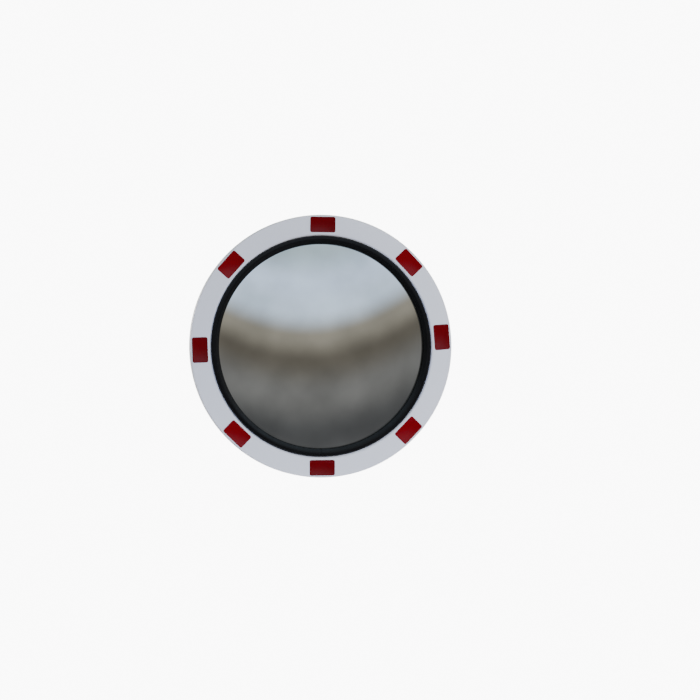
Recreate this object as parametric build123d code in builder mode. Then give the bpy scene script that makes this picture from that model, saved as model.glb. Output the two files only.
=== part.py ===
"""Traffic convex mirror on a two-way swivel with a clamp for a round post.

The mirror looks along -Y and +Z is up. The origin is the centre of the post in the clamp.
Sizes are millimetres. In a round section, x is the distance from the mirror's middle line and
y is the depth behind the rim's front face.
"""

from build123d import *
from math import atan2, radians, sqrt, tan
import os

# ---- driving dimensions: mirror head ----
opening_radius = 301.0  # visible edge of the mirror
gasket_width = 22.4  # visible width of the rubber round the mirror
rim_width = 61.6  # from the rubber to the shell's outer edge
dome_rise = 50.0  # apex in front of the mirror's flange
dome_thickness = 3.0
flange_width = 6.5  # flat border of the mirror, held in the gasket
flange_depth = 12.0

sheet = 3.0  # shell wall
lip_depth = 40.0
lip_draft = 1.0
pan_depth = 13.0  # rear face of the pan
ring_depth = 28.0  # rear face of the raised ring
ring_inset = 3.0  # raised ring's inner edge, outside the mirror's visible edge
ring_wall_step = 1.2  # channel's outer wall, outside the gasket's lip
rib_height = 9.0
rib_width = 50.6
rib_top_width = 26.0
rib_inner_end = 118.0
rib_margin = 36.0  # from the rib's outer end to the ring
boss_radius = 49.0
boss_top_radius = 34.8
boss_margin = 111.5  # from the boss's centre to the ring

reflector_length = 74.0
reflector_width = 45.6
reflector_thickness = 0.6
reflector_corner = 5.5
reflector_inset = 30.0  # plate's centre from the rim's outer edge
# each plate is placed by hand, so its angle from the mirror's right is a little off the even spacing
reflector_angles = {
    "reflector_right": 4.3,
    "reflector_upper_right": 43.6,
    "reflector_top": 89.4,
    "reflector_upper_left": 138.1,
    "reflector_left": 181.8,
    "reflector_lower_left": 226.0,
    "reflector_bottom": 270.3,
    "reflector_lower_right": 316.1,
}

rivet_count = 8
rivet_inset = 12.0  # rivet's centre, outside the mirror's visible edge
rivet_radius = 2.4
rivet_head_radius = 4.8
rivet_head_height = 1.6
rivet_bulb_radius = 3.8
rivet_bulb_height = 4.0
rivet_eye_radius = 1.4

# ---- driving dimensions: bracket, swivel and clamp ----
post_radius = 38.0
clamp_wall = 5.0
clamp_height = 60.0
clamp_gap = 6.0
clamp_flange = 33.0  # length of each flange beside the saddle
clamp_bolt_inset = 18.0  # clamp bolt's line from the saddle
clamp_bolt_spacing = 34.0
pan_standoff = 35.0  # pan bolt's line from the saddle
knuckle_reach = 62.0  # from the pan bolt's line to the tilt bolt's
head_standoff = 32.0  # tilt bolt's line to the pan's rear face

pivot_bolt_radius = 6.0  # M12
pivot_hex = 3.0 * pivot_bolt_radius
pivot_head_height = 1.25 * pivot_bolt_radius
pivot_nut_height = 2.0 * pivot_bolt_radius
pivot_washer_radius = 2.0 * pivot_bolt_radius
pivot_washer = 2.5
running_clearance = 0.06
barrel_radius = 16.0
barrel_length = 34.0
tilt_barrel_length = 46.0
friction_washer = 1.5
friction_washer_radius = 15.0
friction_gap = 0.05
web_width = 24.0
web_height = 22.0
clamp_ear = 6.0
clamp_ear_radius = 20.0

plate_size = 116.0
plate_thickness = 4.0
plate_corner = 12.0
plate_ear = 4.0
plate_ear_radius = 20.0
pad_thickness = 2.0
stiffener_radius = 78.0
stiffener_thickness = 3.0
plate_bolt_spacing = 80.0

small_bolt_radius = 4.0  # M8 carriage bolts and clamp bolts
small_hex = 3.25 * small_bolt_radius
small_head_height = 1.325 * small_bolt_radius
small_nut_height = 2.0 * small_bolt_radius
small_washer_radius = 2.0 * small_bolt_radius
small_washer = 1.6
neck = 2.0 * small_bolt_radius  # square neck of a carriage bolt
neck_height = 5.0
carriage_head_radius = 2.5 * small_bolt_radius
carriage_head_height = 1.1 * small_bolt_radius

thread_clearance = 0.05
hole_clearance = 0.5
bolt_end = 3.0  # thread that stands out of a nut
seat_clearance = 0.2
edge_break = 1.0

# ---- derived places ----
gasket_radius = opening_radius + gasket_width
rim_radius = gasket_radius + rim_width
ring_inner_radius = opening_radius + ring_inset
ring_wall_radius = gasket_radius + ring_wall_step
rib_outer_end = ring_inner_radius - rib_margin
boss_circle_radius = ring_inner_radius - boss_margin
reflector_circle_radius = rim_radius - reflector_inset
rivet_circle_radius = opening_radius + rivet_inset
saddle_radius = post_radius + clamp_wall
clamp_flange_reach = saddle_radius + clamp_flange
clamp_bolt_x = saddle_radius + clamp_bolt_inset
pan_reach = saddle_radius + pan_standoff
tilt_reach = pan_reach + knuckle_reach
rim_front = -(tilt_reach + head_standoff + pan_depth)
pan_rear = rim_front + pan_depth
pan_front = pan_rear - sheet
ring_rear = rim_front + ring_depth
channel_radius = ring_wall_radius - sheet  # front side of the channel's outer wall
mirror_edge_radius = opening_radius + flange_width + 2.0
dome_radius = ((opening_radius + 2.0) ** 2 + dome_rise**2) / (2 * dome_rise)
pad_rear = pan_rear + pad_thickness
plate_rear = pad_rear + plate_thickness


def facing_front(y):
    """Plane at y that looks to the mirror's front, with x to the viewer's right and y up."""
    return Plane(origin=(0, y, 0), x_dir=(1, 0, 0), z_dir=(0, -1, 0))


def facing_rear(y):
    """Plane at y that looks to the rear, with x to the mirror's right as seen from its front."""
    return Plane(origin=(0, y, 0), x_dir=(1, 0, 0), z_dir=(0, 1, 0))


def facing_right(x):
    """Plane at x that looks along +X, with x along +Y and y up."""
    return Plane(origin=(x, 0, 0), x_dir=(0, 1, 0), z_dir=(1, 0, 0))


def save(part, name):
    """Label a finished piece and write it."""
    part.label = name
    export_step(part, f"parts/{name}.step")


def section_point(radius, depth):
    """Point of a round section, with its depth measured behind the rim's front face."""
    return (radius, rim_front + depth)


os.makedirs("parts", exist_ok=True)

# ---- shell: rim, lip, channel for the gasket, raised ring and pan ----
slope = 56.0  # of the wall between the pan and the ring
pan_bend = 18.0  # bend radii on the rear face
ring_bend = 15.0
ring_edge_bend = 2.5
cove_bend = 14.0
lip_bend = 9.0
rim_inner_bend = 9.5  # bend radii on the front face
rim_outer_bend = 4.0
channel_bend = 1.5
lip_wall = 2.8

slope_run = (ring_depth - pan_depth) / tan(radians(slope))
ring_corner = ring_inner_radius - ring_bend * tan(radians(slope / 2))
pan_corner = ring_corner - slope_run
front_shift = sheet * tan(radians(slope / 2))
wall_draft = 1.0
lip_inner_foot = rim_radius - lip_wall - 3 * lip_draft

rear_outline = [
    section_point(0, pan_depth),
    section_point(pan_corner, pan_depth),
    section_point(ring_corner, ring_depth),
    section_point(ring_wall_radius - wall_draft, ring_depth),
    section_point(ring_wall_radius + wall_draft / 2, sheet),
    section_point(lip_inner_foot, sheet),
    section_point(rim_radius - lip_wall, lip_depth),
]
rear_bends = [pan_bend, ring_bend, ring_edge_bend, cove_bend, lip_bend]
front_outline = [
    section_point(rim_radius, lip_depth),
    section_point(rim_radius - lip_draft, 0),
    section_point(channel_radius, 0),
    section_point(channel_radius - wall_draft, ring_depth - sheet),
    section_point(ring_corner + front_shift, ring_depth - sheet),
    section_point(pan_corner + front_shift, pan_depth - sheet),
    section_point(0, pan_depth - sheet),
]
front_bends = [rim_outer_bend, rim_inner_bend, channel_bend, ring_bend - sheet, pan_bend + sheet]

rib_slope_inset = (rib_width - rib_top_width) / 2
boss_slope_inset = boss_radius - boss_top_radius
# how much further in the front face bends, so that the sloping walls keep the sheet's thickness
rib_wall_shift = sheet * tan(atan2(rib_height, rib_slope_inset) / 2)
boss_wall_shift = sheet * tan(atan2(rib_height, boss_slope_inset) / 2)
rib_middle = (rib_inner_end + rib_outer_end) / 2
rib_length = rib_outer_end - rib_inner_end
pressing_angles = [0, 90, 180, 270]


def rib_outline(plane, inset):
    """Four rounded slots, one on each arm of a cross."""
    with BuildSketch(plane) as outline:
        for angle in pressing_angles:
            with PolarLocations(rib_middle, 1, start_angle=angle):
                SlotOverall(rib_length - 2 * inset, rib_width - 2 * inset)
    return outline.sketch.faces()


def boss_outline(plane, inset):
    """Four discs, one between each two arms of the cross."""
    with BuildSketch(plane) as outline:
        with PolarLocations(boss_circle_radius, 4, start_angle=45):
            Circle(boss_radius - inset)
    return outline.sketch.faces()


with BuildPart() as shell:
    with BuildSketch(Plane.XY):
        with BuildLine():
            FilletPolyline(rear_outline, radius=rear_bends)
            Line(rear_outline[-1], front_outline[0])
            FilletPolyline(front_outline, radius=front_bends)
            Line(front_outline[-1], rear_outline[0])
        make_face()
    revolve(axis=Axis.Y)
    rib_feet = rib_outline(facing_front(pan_rear), 0)
    rib_tops = rib_outline(facing_front(pan_rear + rib_height), rib_slope_inset)
    boss_feet = boss_outline(facing_front(pan_rear), 0)
    boss_tops = boss_outline(facing_front(pan_rear + rib_height), boss_slope_inset)
    for foot, top in zip([*rib_feet, *boss_feet], [*rib_tops, *boss_tops]):
        loft([foot, top], ruled=True)
    rib_roots = rib_outline(facing_front(pan_front), rib_wall_shift)
    rib_floors = rib_outline(facing_front(pan_front + rib_height), rib_slope_inset + rib_wall_shift)
    boss_roots = boss_outline(facing_front(pan_front), boss_wall_shift)
    boss_floors = boss_outline(facing_front(pan_front + rib_height), boss_slope_inset + boss_wall_shift)
    for root, floor in zip([*rib_roots, *boss_roots], [*rib_floors, *boss_floors]):
        loft([root, floor], ruled=True, mode=Mode.SUBTRACT)
    with BuildSketch(facing_front(pan_rear)):
        with GridLocations(plate_bolt_spacing, plate_bolt_spacing, 2, 2):
            Circle(neck / sqrt(2) + hole_clearance)
    extrude(amount=sheet, mode=Mode.SUBTRACT)
    with BuildSketch(facing_front(ring_rear)):
        with PolarLocations(rivet_circle_radius, rivet_count):
            Circle(rivet_radius + seat_clearance / 2)
    extrude(amount=sheet, mode=Mode.SUBTRACT)
save(shell.part, "shell")

# ---- mirror dome: a shallow cap with a flat flange ----
apex = section_point(0, flange_depth - dome_rise)
flange_foot = section_point(opening_radius + 2.0, flange_depth)
flange_rear = flange_depth + dome_thickness
centre_depth = flange_depth - dome_rise + dome_radius
rear_foot_radius = sqrt((dome_radius - dome_thickness) ** 2 - (centre_depth - flange_rear) ** 2)

with BuildPart() as mirror_dome:
    with BuildSketch(Plane.XY):
        with BuildLine():
            RadiusArc(apex, flange_foot, -dome_radius)
            Polyline(
                flange_foot,
                section_point(mirror_edge_radius, flange_depth),
                section_point(mirror_edge_radius, flange_rear),
                section_point(rear_foot_radius, flange_rear),
            )
            RadiusArc(
                section_point(0, flange_depth - dome_rise + dome_thickness),
                section_point(rear_foot_radius, flange_rear),
                -(dome_radius - dome_thickness),
            )
            Line(apex, section_point(0, flange_depth - dome_rise + dome_thickness))
        make_face()
    revolve(axis=Axis.Y)
save(mirror_dome.part, "mirror_dome")

# ---- edge gasket: rubber profile with a slot for the mirror's flange, butted at the bottom ----
slot_radius = mirror_edge_radius + 0.7
slot_front = flange_depth - seat_clearance
slot_rear = flange_rear + seat_clearance
bead_front = -6.5  # the bead stands out of the rim
channel_floor = ring_depth - sheet
base_radius = channel_radius - wall_draft - channel_bend - seat_clearance
joint_gap_angle = 0.2
joint_notch = 5.0
# the two ends meet at the bottom, so the section is drawn there
joint_plane = Plane(origin=(0, 0, 0), x_dir=(0, 0, -1), z_dir=(1, 0, 0))

lip_clearance = 0.6
bend_centre_radius = channel_radius + rim_inner_bend * (1 - wall_draft / (ring_depth - sheet))


def rim_bend_depth(radius):
    """Depth of the rim's rounded inner edge at a radius."""
    across = bend_centre_radius - radius
    return rim_inner_bend - sqrt(rim_inner_bend**2 - across**2)


gasket_outline = [
    section_point(opening_radius + 4.0, channel_floor),
    section_point(base_radius, channel_floor),
    section_point(base_radius + 1.2, channel_floor - 3.0),
    section_point(channel_radius - wall_draft, rim_inner_bend - 2.0),
    section_point(gasket_radius, rim_bend_depth(gasket_radius) - lip_clearance),
    section_point(gasket_radius - 2.2, -4.0),
    section_point(opening_radius + 9.5, bead_front),
    section_point(opening_radius, slot_front - 3.6),
    section_point(opening_radius + 0.4, slot_front - 1.4),
    section_point(opening_radius + 4.0, slot_front),
    section_point(slot_radius, slot_front),
    section_point(slot_radius, slot_rear),
    section_point(opening_radius + 4.0, slot_rear),
]
gasket_bends = [0, 0, 0, 0, 0.7, 5.0, 5.0, 0.8, 0.5, 0, 0.4, 0.4, 0]
rivet_bulb_depth = channel_floor - 4.6  # rear end of the bulb, inside the rubber

with BuildPart() as edge_gasket:
    with BuildSketch(joint_plane):
        with BuildLine():
            FilletPolyline(gasket_outline, radius=gasket_bends, close=True)
        make_face()
    revolve(axis=Axis.Y, revolution_arc=360 - joint_gap_angle)
    with BuildSketch(facing_front(rim_front + channel_floor)):
        with PolarLocations(rivet_circle_radius, rivet_count):
            Circle(rivet_radius + seat_clearance / 2)
    extrude(amount=channel_floor - rivet_bulb_depth + seat_clearance, mode=Mode.SUBTRACT)
    with BuildSketch(facing_front(rim_front + rivet_bulb_depth + seat_clearance)):
        with PolarLocations(rivet_circle_radius, rivet_count):
            Circle(rivet_bulb_radius + seat_clearance / 2)
    extrude(amount=rivet_bulb_height + 2 * seat_clearance, mode=Mode.SUBTRACT)
    with BuildSketch(facing_front(rim_front + slot_front - 4.0)):
        with BuildLine():
            Polyline(
                (-joint_notch / 2, -gasket_radius - 1.0),
                (0, -gasket_radius + joint_notch),
                (joint_notch / 2, -gasket_radius - 1.0),
                close=True,
            )
        make_face()
    extrude(amount=slot_front - bead_front, mode=Mode.SUBTRACT)
save(edge_gasket.part, "edge_gasket")

# ---- reflective plates on the rim ----
for name, angle in reflector_angles.items():
    with BuildPart() as reflector:
        with BuildSketch(facing_front(rim_front)):
            with PolarLocations(reflector_circle_radius, 1, start_angle=angle):
                RectangleRounded(reflector_width, reflector_length, reflector_corner)
        extrude(amount=reflector_thickness)
    save(reflector.part, name)

# ---- blind rivets through the ring into the gasket ----
with BuildPart() as edge_rivets:
    with BuildSketch(facing_front(rim_front + ring_depth + rivet_head_height)):
        with PolarLocations(rivet_circle_radius, rivet_count):
            Circle(rivet_head_radius)
    extrude(amount=rivet_head_height)
    rim_edges = edge_rivets.edges().filter_by(GeomType.CIRCLE).group_by(Axis.Y)[-1]
    fillet(rim_edges, rivet_head_height * 0.6)
    with BuildSketch(facing_front(rim_front + ring_depth)):
        with PolarLocations(rivet_circle_radius, rivet_count):
            Circle(rivet_radius)
    extrude(amount=ring_depth - rivet_bulb_depth)
    with BuildSketch(facing_front(rim_front + rivet_bulb_depth)):
        with PolarLocations(rivet_circle_radius, rivet_count):
            Circle(rivet_bulb_radius)
    extrude(amount=rivet_bulb_height)
    with BuildSketch(facing_front(rim_front + ring_depth + rivet_head_height)):
        with PolarLocations(rivet_circle_radius, rivet_count):
            Circle(rivet_eye_radius)
    extrude(amount=rivet_head_height + 2 * sheet, mode=Mode.SUBTRACT)
save(edge_rivets.part, "edge_rivets")

# ---- bracket on the pan: stiffener, pad, plate with ears, carriage bolts ----
with BuildPart() as stiffener_plate:
    with BuildSketch(facing_front(pan_front)):
        Circle(stiffener_radius)
        with GridLocations(plate_bolt_spacing, plate_bolt_spacing, 2, 2):
            Rectangle(neck + hole_clearance, neck + hole_clearance, mode=Mode.SUBTRACT)
    extrude(amount=stiffener_thickness)
save(stiffener_plate.part, "stiffener_plate")

with BuildPart() as bracket_pad:
    with BuildSketch(facing_front(pad_rear)):
        RectangleRounded(plate_size, plate_size, plate_corner)
        with GridLocations(plate_bolt_spacing, plate_bolt_spacing, 2, 2):
            Circle(neck / sqrt(2) + hole_clearance, mode=Mode.SUBTRACT)
    extrude(amount=pad_thickness)
save(bracket_pad.part, "bracket_pad")

ear_inside = tilt_barrel_length / 2 + friction_washer + friction_gap
ear_outside = ear_inside + plate_ear

with BuildPart() as head_bracket:
    with BuildSketch(facing_front(plate_rear)):
        RectangleRounded(plate_size, plate_size, plate_corner)
        with GridLocations(plate_bolt_spacing, plate_bolt_spacing, 2, 2):
            Circle(small_bolt_radius + hole_clearance, mode=Mode.SUBTRACT)
    extrude(amount=plate_thickness)
    for x in (-ear_outside, ear_inside):
        with BuildSketch(facing_right(x)):
            with BuildLine():
                Polyline(
                    (-tilt_reach, plate_ear_radius),
                    (plate_rear, plate_size / 2 - plate_corner),
                    (plate_rear, -plate_size / 2 + plate_corner),
                    (-tilt_reach, -plate_ear_radius),
                )
                ThreePointArc(
                    (-tilt_reach, -plate_ear_radius),
                    (-tilt_reach + plate_ear_radius, 0),
                    (-tilt_reach, plate_ear_radius),
                )
            make_face()
            with Locations((-tilt_reach, 0)):
                Circle(pivot_bolt_radius + hole_clearance, mode=Mode.SUBTRACT)
        extrude(amount=plate_ear)
save(head_bracket.part, "head_bracket")

carriage_under_head = pan_front - stiffener_thickness
carriage_end = plate_rear + small_washer + small_nut_height + bolt_end

with BuildPart() as carriage_bolts:
    with BuildSketch(facing_front(carriage_under_head)):
        with GridLocations(plate_bolt_spacing, plate_bolt_spacing, 2, 2):
            Circle(carriage_head_radius)
    extrude(amount=carriage_head_height)
    crowns = carriage_bolts.edges().filter_by(GeomType.CIRCLE).group_by(Axis.Y)[0]
    fillet(crowns, carriage_head_height * 0.8)
    with BuildSketch(facing_front(carriage_under_head)):
        with GridLocations(plate_bolt_spacing, plate_bolt_spacing, 2, 2):
            Rectangle(neck, neck)
    extrude(amount=-neck_height)
    with BuildSketch(facing_front(carriage_under_head + neck_height)):
        with GridLocations(plate_bolt_spacing, plate_bolt_spacing, 2, 2):
            Circle(small_bolt_radius)
    extrude(amount=-(carriage_end - carriage_under_head - neck_height))
    tips = carriage_bolts.edges().filter_by(GeomType.CIRCLE).group_by(Axis.Y)[-1]
    chamfer(tips, edge_break * 0.6)
save(carriage_bolts.part, "carriage_bolts")

with BuildPart() as bracket_washers:
    with BuildSketch(facing_front(plate_rear + small_washer)):
        with GridLocations(plate_bolt_spacing, plate_bolt_spacing, 2, 2):
            Circle(small_washer_radius)
            Circle(small_bolt_radius + hole_clearance / 2, mode=Mode.SUBTRACT)
    extrude(amount=small_washer)
save(bracket_washers.part, "bracket_washers")


def lock_nuts(seat, places, across_flats, height, bolt_radius):
    """Locking nuts on a plane that their seats lie on, built along the plane's normal."""
    collar = height * 0.3
    with BuildPart() as nuts:
        with BuildSketch(seat):
            with Locations(*places):
                RegularPolygon(across_flats / 2, 6, major_radius=False)
        extrude(amount=height - collar)
        with BuildSketch(seat.offset(height - collar)):
            with Locations(*places):
                Circle(across_flats * 0.45)
        extrude(amount=collar)
        collars = nuts.edges().filter_by(GeomType.CIRCLE).sort_by(
            lambda edge: seat.to_local_coords(edge.center()).Z
        )[-len(places) :]
        fillet(collars, collar * 0.6)
        with BuildSketch(seat):
            with Locations(*places):
                Circle(bolt_radius + thread_clearance)
        extrude(amount=height, mode=Mode.SUBTRACT)
    return nuts.part


def hex_bolts(seat, places, across_flats, head_height, bolt_radius, length):
    """Hexagon bolts, heads built along the normal of their seat's plane and shanks against it."""
    with BuildPart() as crowns:
        with BuildSketch(seat):
            with Locations(*places):
                Circle(across_flats * 0.57)
        extrude(amount=head_height)
        crown_edges = crowns.edges().filter_by(GeomType.CIRCLE).sort_by(
            lambda edge: seat.to_local_coords(edge.center()).Z
        )[-len(places) :]
        chamfer(crown_edges, across_flats * 0.05, across_flats * 0.1)
    with BuildPart() as bolts:
        with BuildSketch(seat):
            with Locations(*places):
                RegularPolygon(across_flats / 2, 6, major_radius=False)
        extrude(amount=head_height)
        add(crowns.part, mode=Mode.INTERSECT)
        with BuildSketch(seat):
            with Locations(*places):
                Circle(bolt_radius)
        extrude(amount=-length)
        tips = bolts.edges().filter_by(GeomType.CIRCLE).sort_by(
            lambda edge: seat.to_local_coords(edge.center()).Z
        )[: len(places)]
        chamfer(tips, edge_break * 0.7)
    return bolts.part


bolt_square = [
    (x * plate_bolt_spacing / 2, y * plate_bolt_spacing / 2) for x in (-1, 1) for y in (-1, 1)
]
bracket_nut_seat = facing_rear(plate_rear + small_washer)
save(
    lock_nuts(bracket_nut_seat, bolt_square, small_hex, small_nut_height, small_bolt_radius),
    "bracket_nuts",
)

# ---- tilt pivot: level bolt through the ears and the knuckle ----
tilt_place = [(-tilt_reach, 0)]
tilt_head_seat = facing_right(ear_outside + pivot_washer)
tilt_nut_seat = Plane(origin=(-ear_outside - pivot_washer, 0, 0), x_dir=(0, 1, 0), z_dir=(-1, 0, 0))
tilt_bolt_length = 2 * (ear_outside + pivot_washer) + pivot_nut_height + bolt_end
save(
    hex_bolts(
        tilt_head_seat, tilt_place, pivot_hex, pivot_head_height, pivot_bolt_radius, tilt_bolt_length
    ),
    "tilt_bolt",
)
save(
    lock_nuts(tilt_nut_seat, tilt_place, pivot_hex, pivot_nut_height, pivot_bolt_radius), "tilt_nut"
)

with BuildPart() as tilt_washers:
    for x in (-ear_outside - pivot_washer, ear_outside):
        with BuildSketch(facing_right(x)):
            with Locations(*tilt_place):
                Circle(pivot_washer_radius)
                Circle(pivot_bolt_radius + hole_clearance / 2, mode=Mode.SUBTRACT)
        extrude(amount=pivot_washer)
save(tilt_washers.part, "tilt_washers")

with BuildPart() as tilt_friction_washers:
    for x in (-ear_inside, ear_inside - friction_washer):
        with BuildSketch(facing_right(x)):
            with Locations(*tilt_place):
                Circle(friction_washer_radius)
                Circle(pivot_bolt_radius + hole_clearance / 2, mode=Mode.SUBTRACT)
        extrude(amount=friction_washer)
save(tilt_friction_washers.part, "tilt_friction_washers")

# ---- knuckle: upright barrel, level barrel and the web between them ----
with BuildPart() as swivel_knuckle:
    with BuildSketch(Plane.XY.offset(-barrel_length / 2)):
        with Locations((0, -pan_reach)):
            Circle(barrel_radius)
    extrude(amount=barrel_length)
    with BuildSketch(facing_right(-tilt_barrel_length / 2)):
        with Locations(*tilt_place):
            Circle(barrel_radius)
    extrude(amount=tilt_barrel_length)
    barrel_ends = swivel_knuckle.edges().filter_by(GeomType.CIRCLE)
    chamfer(barrel_ends, edge_break)
    with BuildSketch(Plane.XY.offset(-web_height / 2)):
        with Locations((0, -(pan_reach + tilt_reach) / 2)):
            Rectangle(web_width, tilt_reach - pan_reach)
    extrude(amount=web_height)
    web_edges = swivel_knuckle.edges().filter_by(Axis.Y).filter_by(GeomType.LINE)
    fillet(web_edges, edge_break * 3)
    with BuildSketch(Plane.XY.offset(-barrel_length / 2)):
        with Locations((0, -pan_reach)):
            Circle(pivot_bolt_radius + running_clearance)
    extrude(amount=barrel_length, mode=Mode.SUBTRACT)
    with BuildSketch(facing_right(-tilt_barrel_length / 2)):
        with Locations(*tilt_place):
            Circle(pivot_bolt_radius + running_clearance)
    extrude(amount=tilt_barrel_length, mode=Mode.SUBTRACT)
save(swivel_knuckle.part, "swivel_knuckle")

# ---- pan pivot: upright bolt through the clamp's ears and the knuckle ----
clamp_ear_inside = barrel_length / 2 + friction_washer + friction_gap
clamp_ear_outside = clamp_ear_inside + clamp_ear
pan_place = [(0, -pan_reach)]
pan_head_seat = Plane.XY.offset(clamp_ear_outside + pivot_washer)
pan_nut_seat = Plane(origin=(0, 0, -clamp_ear_outside - pivot_washer), x_dir=(1, 0, 0), z_dir=(0, 0, -1))
pan_nut_place = [(0, pan_reach)]
pan_bolt_length = 2 * (clamp_ear_outside + pivot_washer) + pivot_nut_height + bolt_end
save(
    hex_bolts(pan_head_seat, pan_place, pivot_hex, pivot_head_height, pivot_bolt_radius, pan_bolt_length),
    "pan_bolt",
)
save(
    lock_nuts(pan_nut_seat, pan_nut_place, pivot_hex, pivot_nut_height, pivot_bolt_radius), "pan_nut"
)

with BuildPart() as pan_washers:
    for z in (-clamp_ear_outside - pivot_washer, clamp_ear_outside):
        with BuildSketch(Plane.XY.offset(z)):
            with Locations(*pan_place):
                Circle(pivot_washer_radius)
                Circle(pivot_bolt_radius + hole_clearance / 2, mode=Mode.SUBTRACT)
        extrude(amount=pivot_washer)
save(pan_washers.part, "pan_washers")

with BuildPart() as pan_friction_washers:
    for z in (-clamp_ear_inside, clamp_ear_inside - friction_washer):
        with BuildSketch(Plane.XY.offset(z)):
            with Locations(*pan_place):
                Circle(friction_washer_radius)
                Circle(pivot_bolt_radius + hole_clearance / 2, mode=Mode.SUBTRACT)
        extrude(amount=friction_washer)
save(pan_friction_washers.part, "pan_friction_washers")

# ---- post clamp: two halves drawn together by four bolts ----
flange_inner = clamp_gap / 2
flange_outer = flange_inner + clamp_wall
flange_corner = 6.0
clamp_bolt_places = [
    (x * clamp_bolt_x, y * clamp_bolt_spacing / 2) for x in (-1, 1) for y in (-1, 1)
]


def half_clamp_outline(side):
    """Half ring and two flanges on one side of the post, side -1 in front and 1 behind."""
    with BuildSketch(Plane.XY.offset(-clamp_height / 2)) as outline:
        Circle(saddle_radius)
        with Locations((0, side * (flange_inner + flange_outer) / 2)):
            Rectangle(2 * clamp_flange_reach, clamp_wall)
        Circle(post_radius, mode=Mode.SUBTRACT)
        with Locations((0, side * (flange_inner - saddle_radius))):
            Rectangle(4 * clamp_flange_reach, 2 * saddle_radius, mode=Mode.SUBTRACT)
    return outline.sketch


def half_clamp(side):
    """Half clamp with rounded flange corners and its four bolt holes."""
    with BuildPart() as half:
        add(half_clamp_outline(side))
        extrude(amount=clamp_height)
        corners = half.edges().filter_by(Axis.Y).filter_by(
            lambda edge: abs(edge.center().X) > clamp_flange_reach - edge_break
        )
        fillet(corners, flange_corner)
        roots = half.edges().filter_by(Axis.Z).filter_by(
            lambda edge: saddle_radius - clamp_wall < abs(edge.center().X) < saddle_radius
            and abs(abs(edge.center().Y) - flange_outer) < edge_break
        )
        fillet(roots, clamp_wall * 0.8)
        with BuildSketch(facing_front(side * flange_outer + side * clamp_wall)):
            with Locations(*clamp_bolt_places):
                Circle(small_bolt_radius + hole_clearance)
        extrude(amount=side * 3 * clamp_wall, mode=Mode.SUBTRACT)
    return half.part


save(half_clamp(1), "clamp_rear")

with BuildPart() as clamp_front:
    add(half_clamp(-1))
    for z in (-clamp_ear_outside, clamp_ear_inside):
        with BuildSketch(Plane.XY.offset(z)):
            with BuildLine():
                Polyline(
                    (clamp_ear_radius, -pan_reach),
                    (saddle_radius * 0.75, -post_radius * 0.75),
                    (-saddle_radius * 0.75, -post_radius * 0.75),
                    (-clamp_ear_radius, -pan_reach),
                )
                ThreePointArc(
                    (-clamp_ear_radius, -pan_reach),
                    (0, -pan_reach - clamp_ear_radius),
                    (clamp_ear_radius, -pan_reach),
                )
            make_face()
            with Locations(*pan_place):
                Circle(pivot_bolt_radius + hole_clearance, mode=Mode.SUBTRACT)
            Circle(post_radius + clamp_wall / 2, mode=Mode.SUBTRACT)
        extrude(amount=clamp_ear)
save(clamp_front.part, "clamp_front")

clamp_bolt_seat = facing_front(-flange_outer - small_washer)
clamp_nut_seat = facing_rear(flange_outer + small_washer)
clamp_bolt_length = 2 * (flange_outer + small_washer) + small_nut_height + bolt_end
save(
    hex_bolts(
        clamp_bolt_seat,
        clamp_bolt_places,
        small_hex,
        small_head_height,
        small_bolt_radius,
        clamp_bolt_length,
    ),
    "clamp_bolts",
)
save(
    lock_nuts(clamp_nut_seat, clamp_bolt_places, small_hex, small_nut_height, small_bolt_radius),
    "clamp_nuts",
)

with BuildPart() as clamp_washers:
    for y in (-flange_outer, flange_outer + small_washer):
        with BuildSketch(facing_front(y)):
            with Locations(*clamp_bolt_places):
                Circle(small_washer_radius)
            with Locations(*clamp_bolt_places):
                Circle(small_bolt_radius + hole_clearance / 2, mode=Mode.SUBTRACT)
        extrude(amount=small_washer)
save(clamp_washers.part, "clamp_washers")
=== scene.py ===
"""Road mirror looks: a round convex mirror in a moulded frame, on a pan and tilt post bracket.

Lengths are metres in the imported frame: the mirror faces -Y, +Z is up, and the post runs along Z.
A round section is drawn as (radius, depth), with depth counted back from the rim's front face.
"""

import math

import bmesh
import bpy
from mathutils import Matrix, Vector


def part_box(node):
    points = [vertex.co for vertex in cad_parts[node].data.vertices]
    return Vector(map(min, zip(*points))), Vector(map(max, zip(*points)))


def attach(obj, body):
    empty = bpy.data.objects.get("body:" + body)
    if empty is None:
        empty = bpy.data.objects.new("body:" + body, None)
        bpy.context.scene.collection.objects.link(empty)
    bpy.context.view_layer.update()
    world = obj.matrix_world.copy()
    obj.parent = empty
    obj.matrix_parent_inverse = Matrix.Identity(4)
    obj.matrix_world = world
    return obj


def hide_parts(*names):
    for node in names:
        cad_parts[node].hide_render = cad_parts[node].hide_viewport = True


bl_info = {
    "name": "Road Mirror",
    "version": (1, 0, 0),
    "blender": (4, 5, 0),
    "location": "View3D > Sidebar > Road Mirror",
    "description": "Builds a convex road mirror with its frame, bracket and studio",
    "category": "Add Mesh",
}

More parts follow.
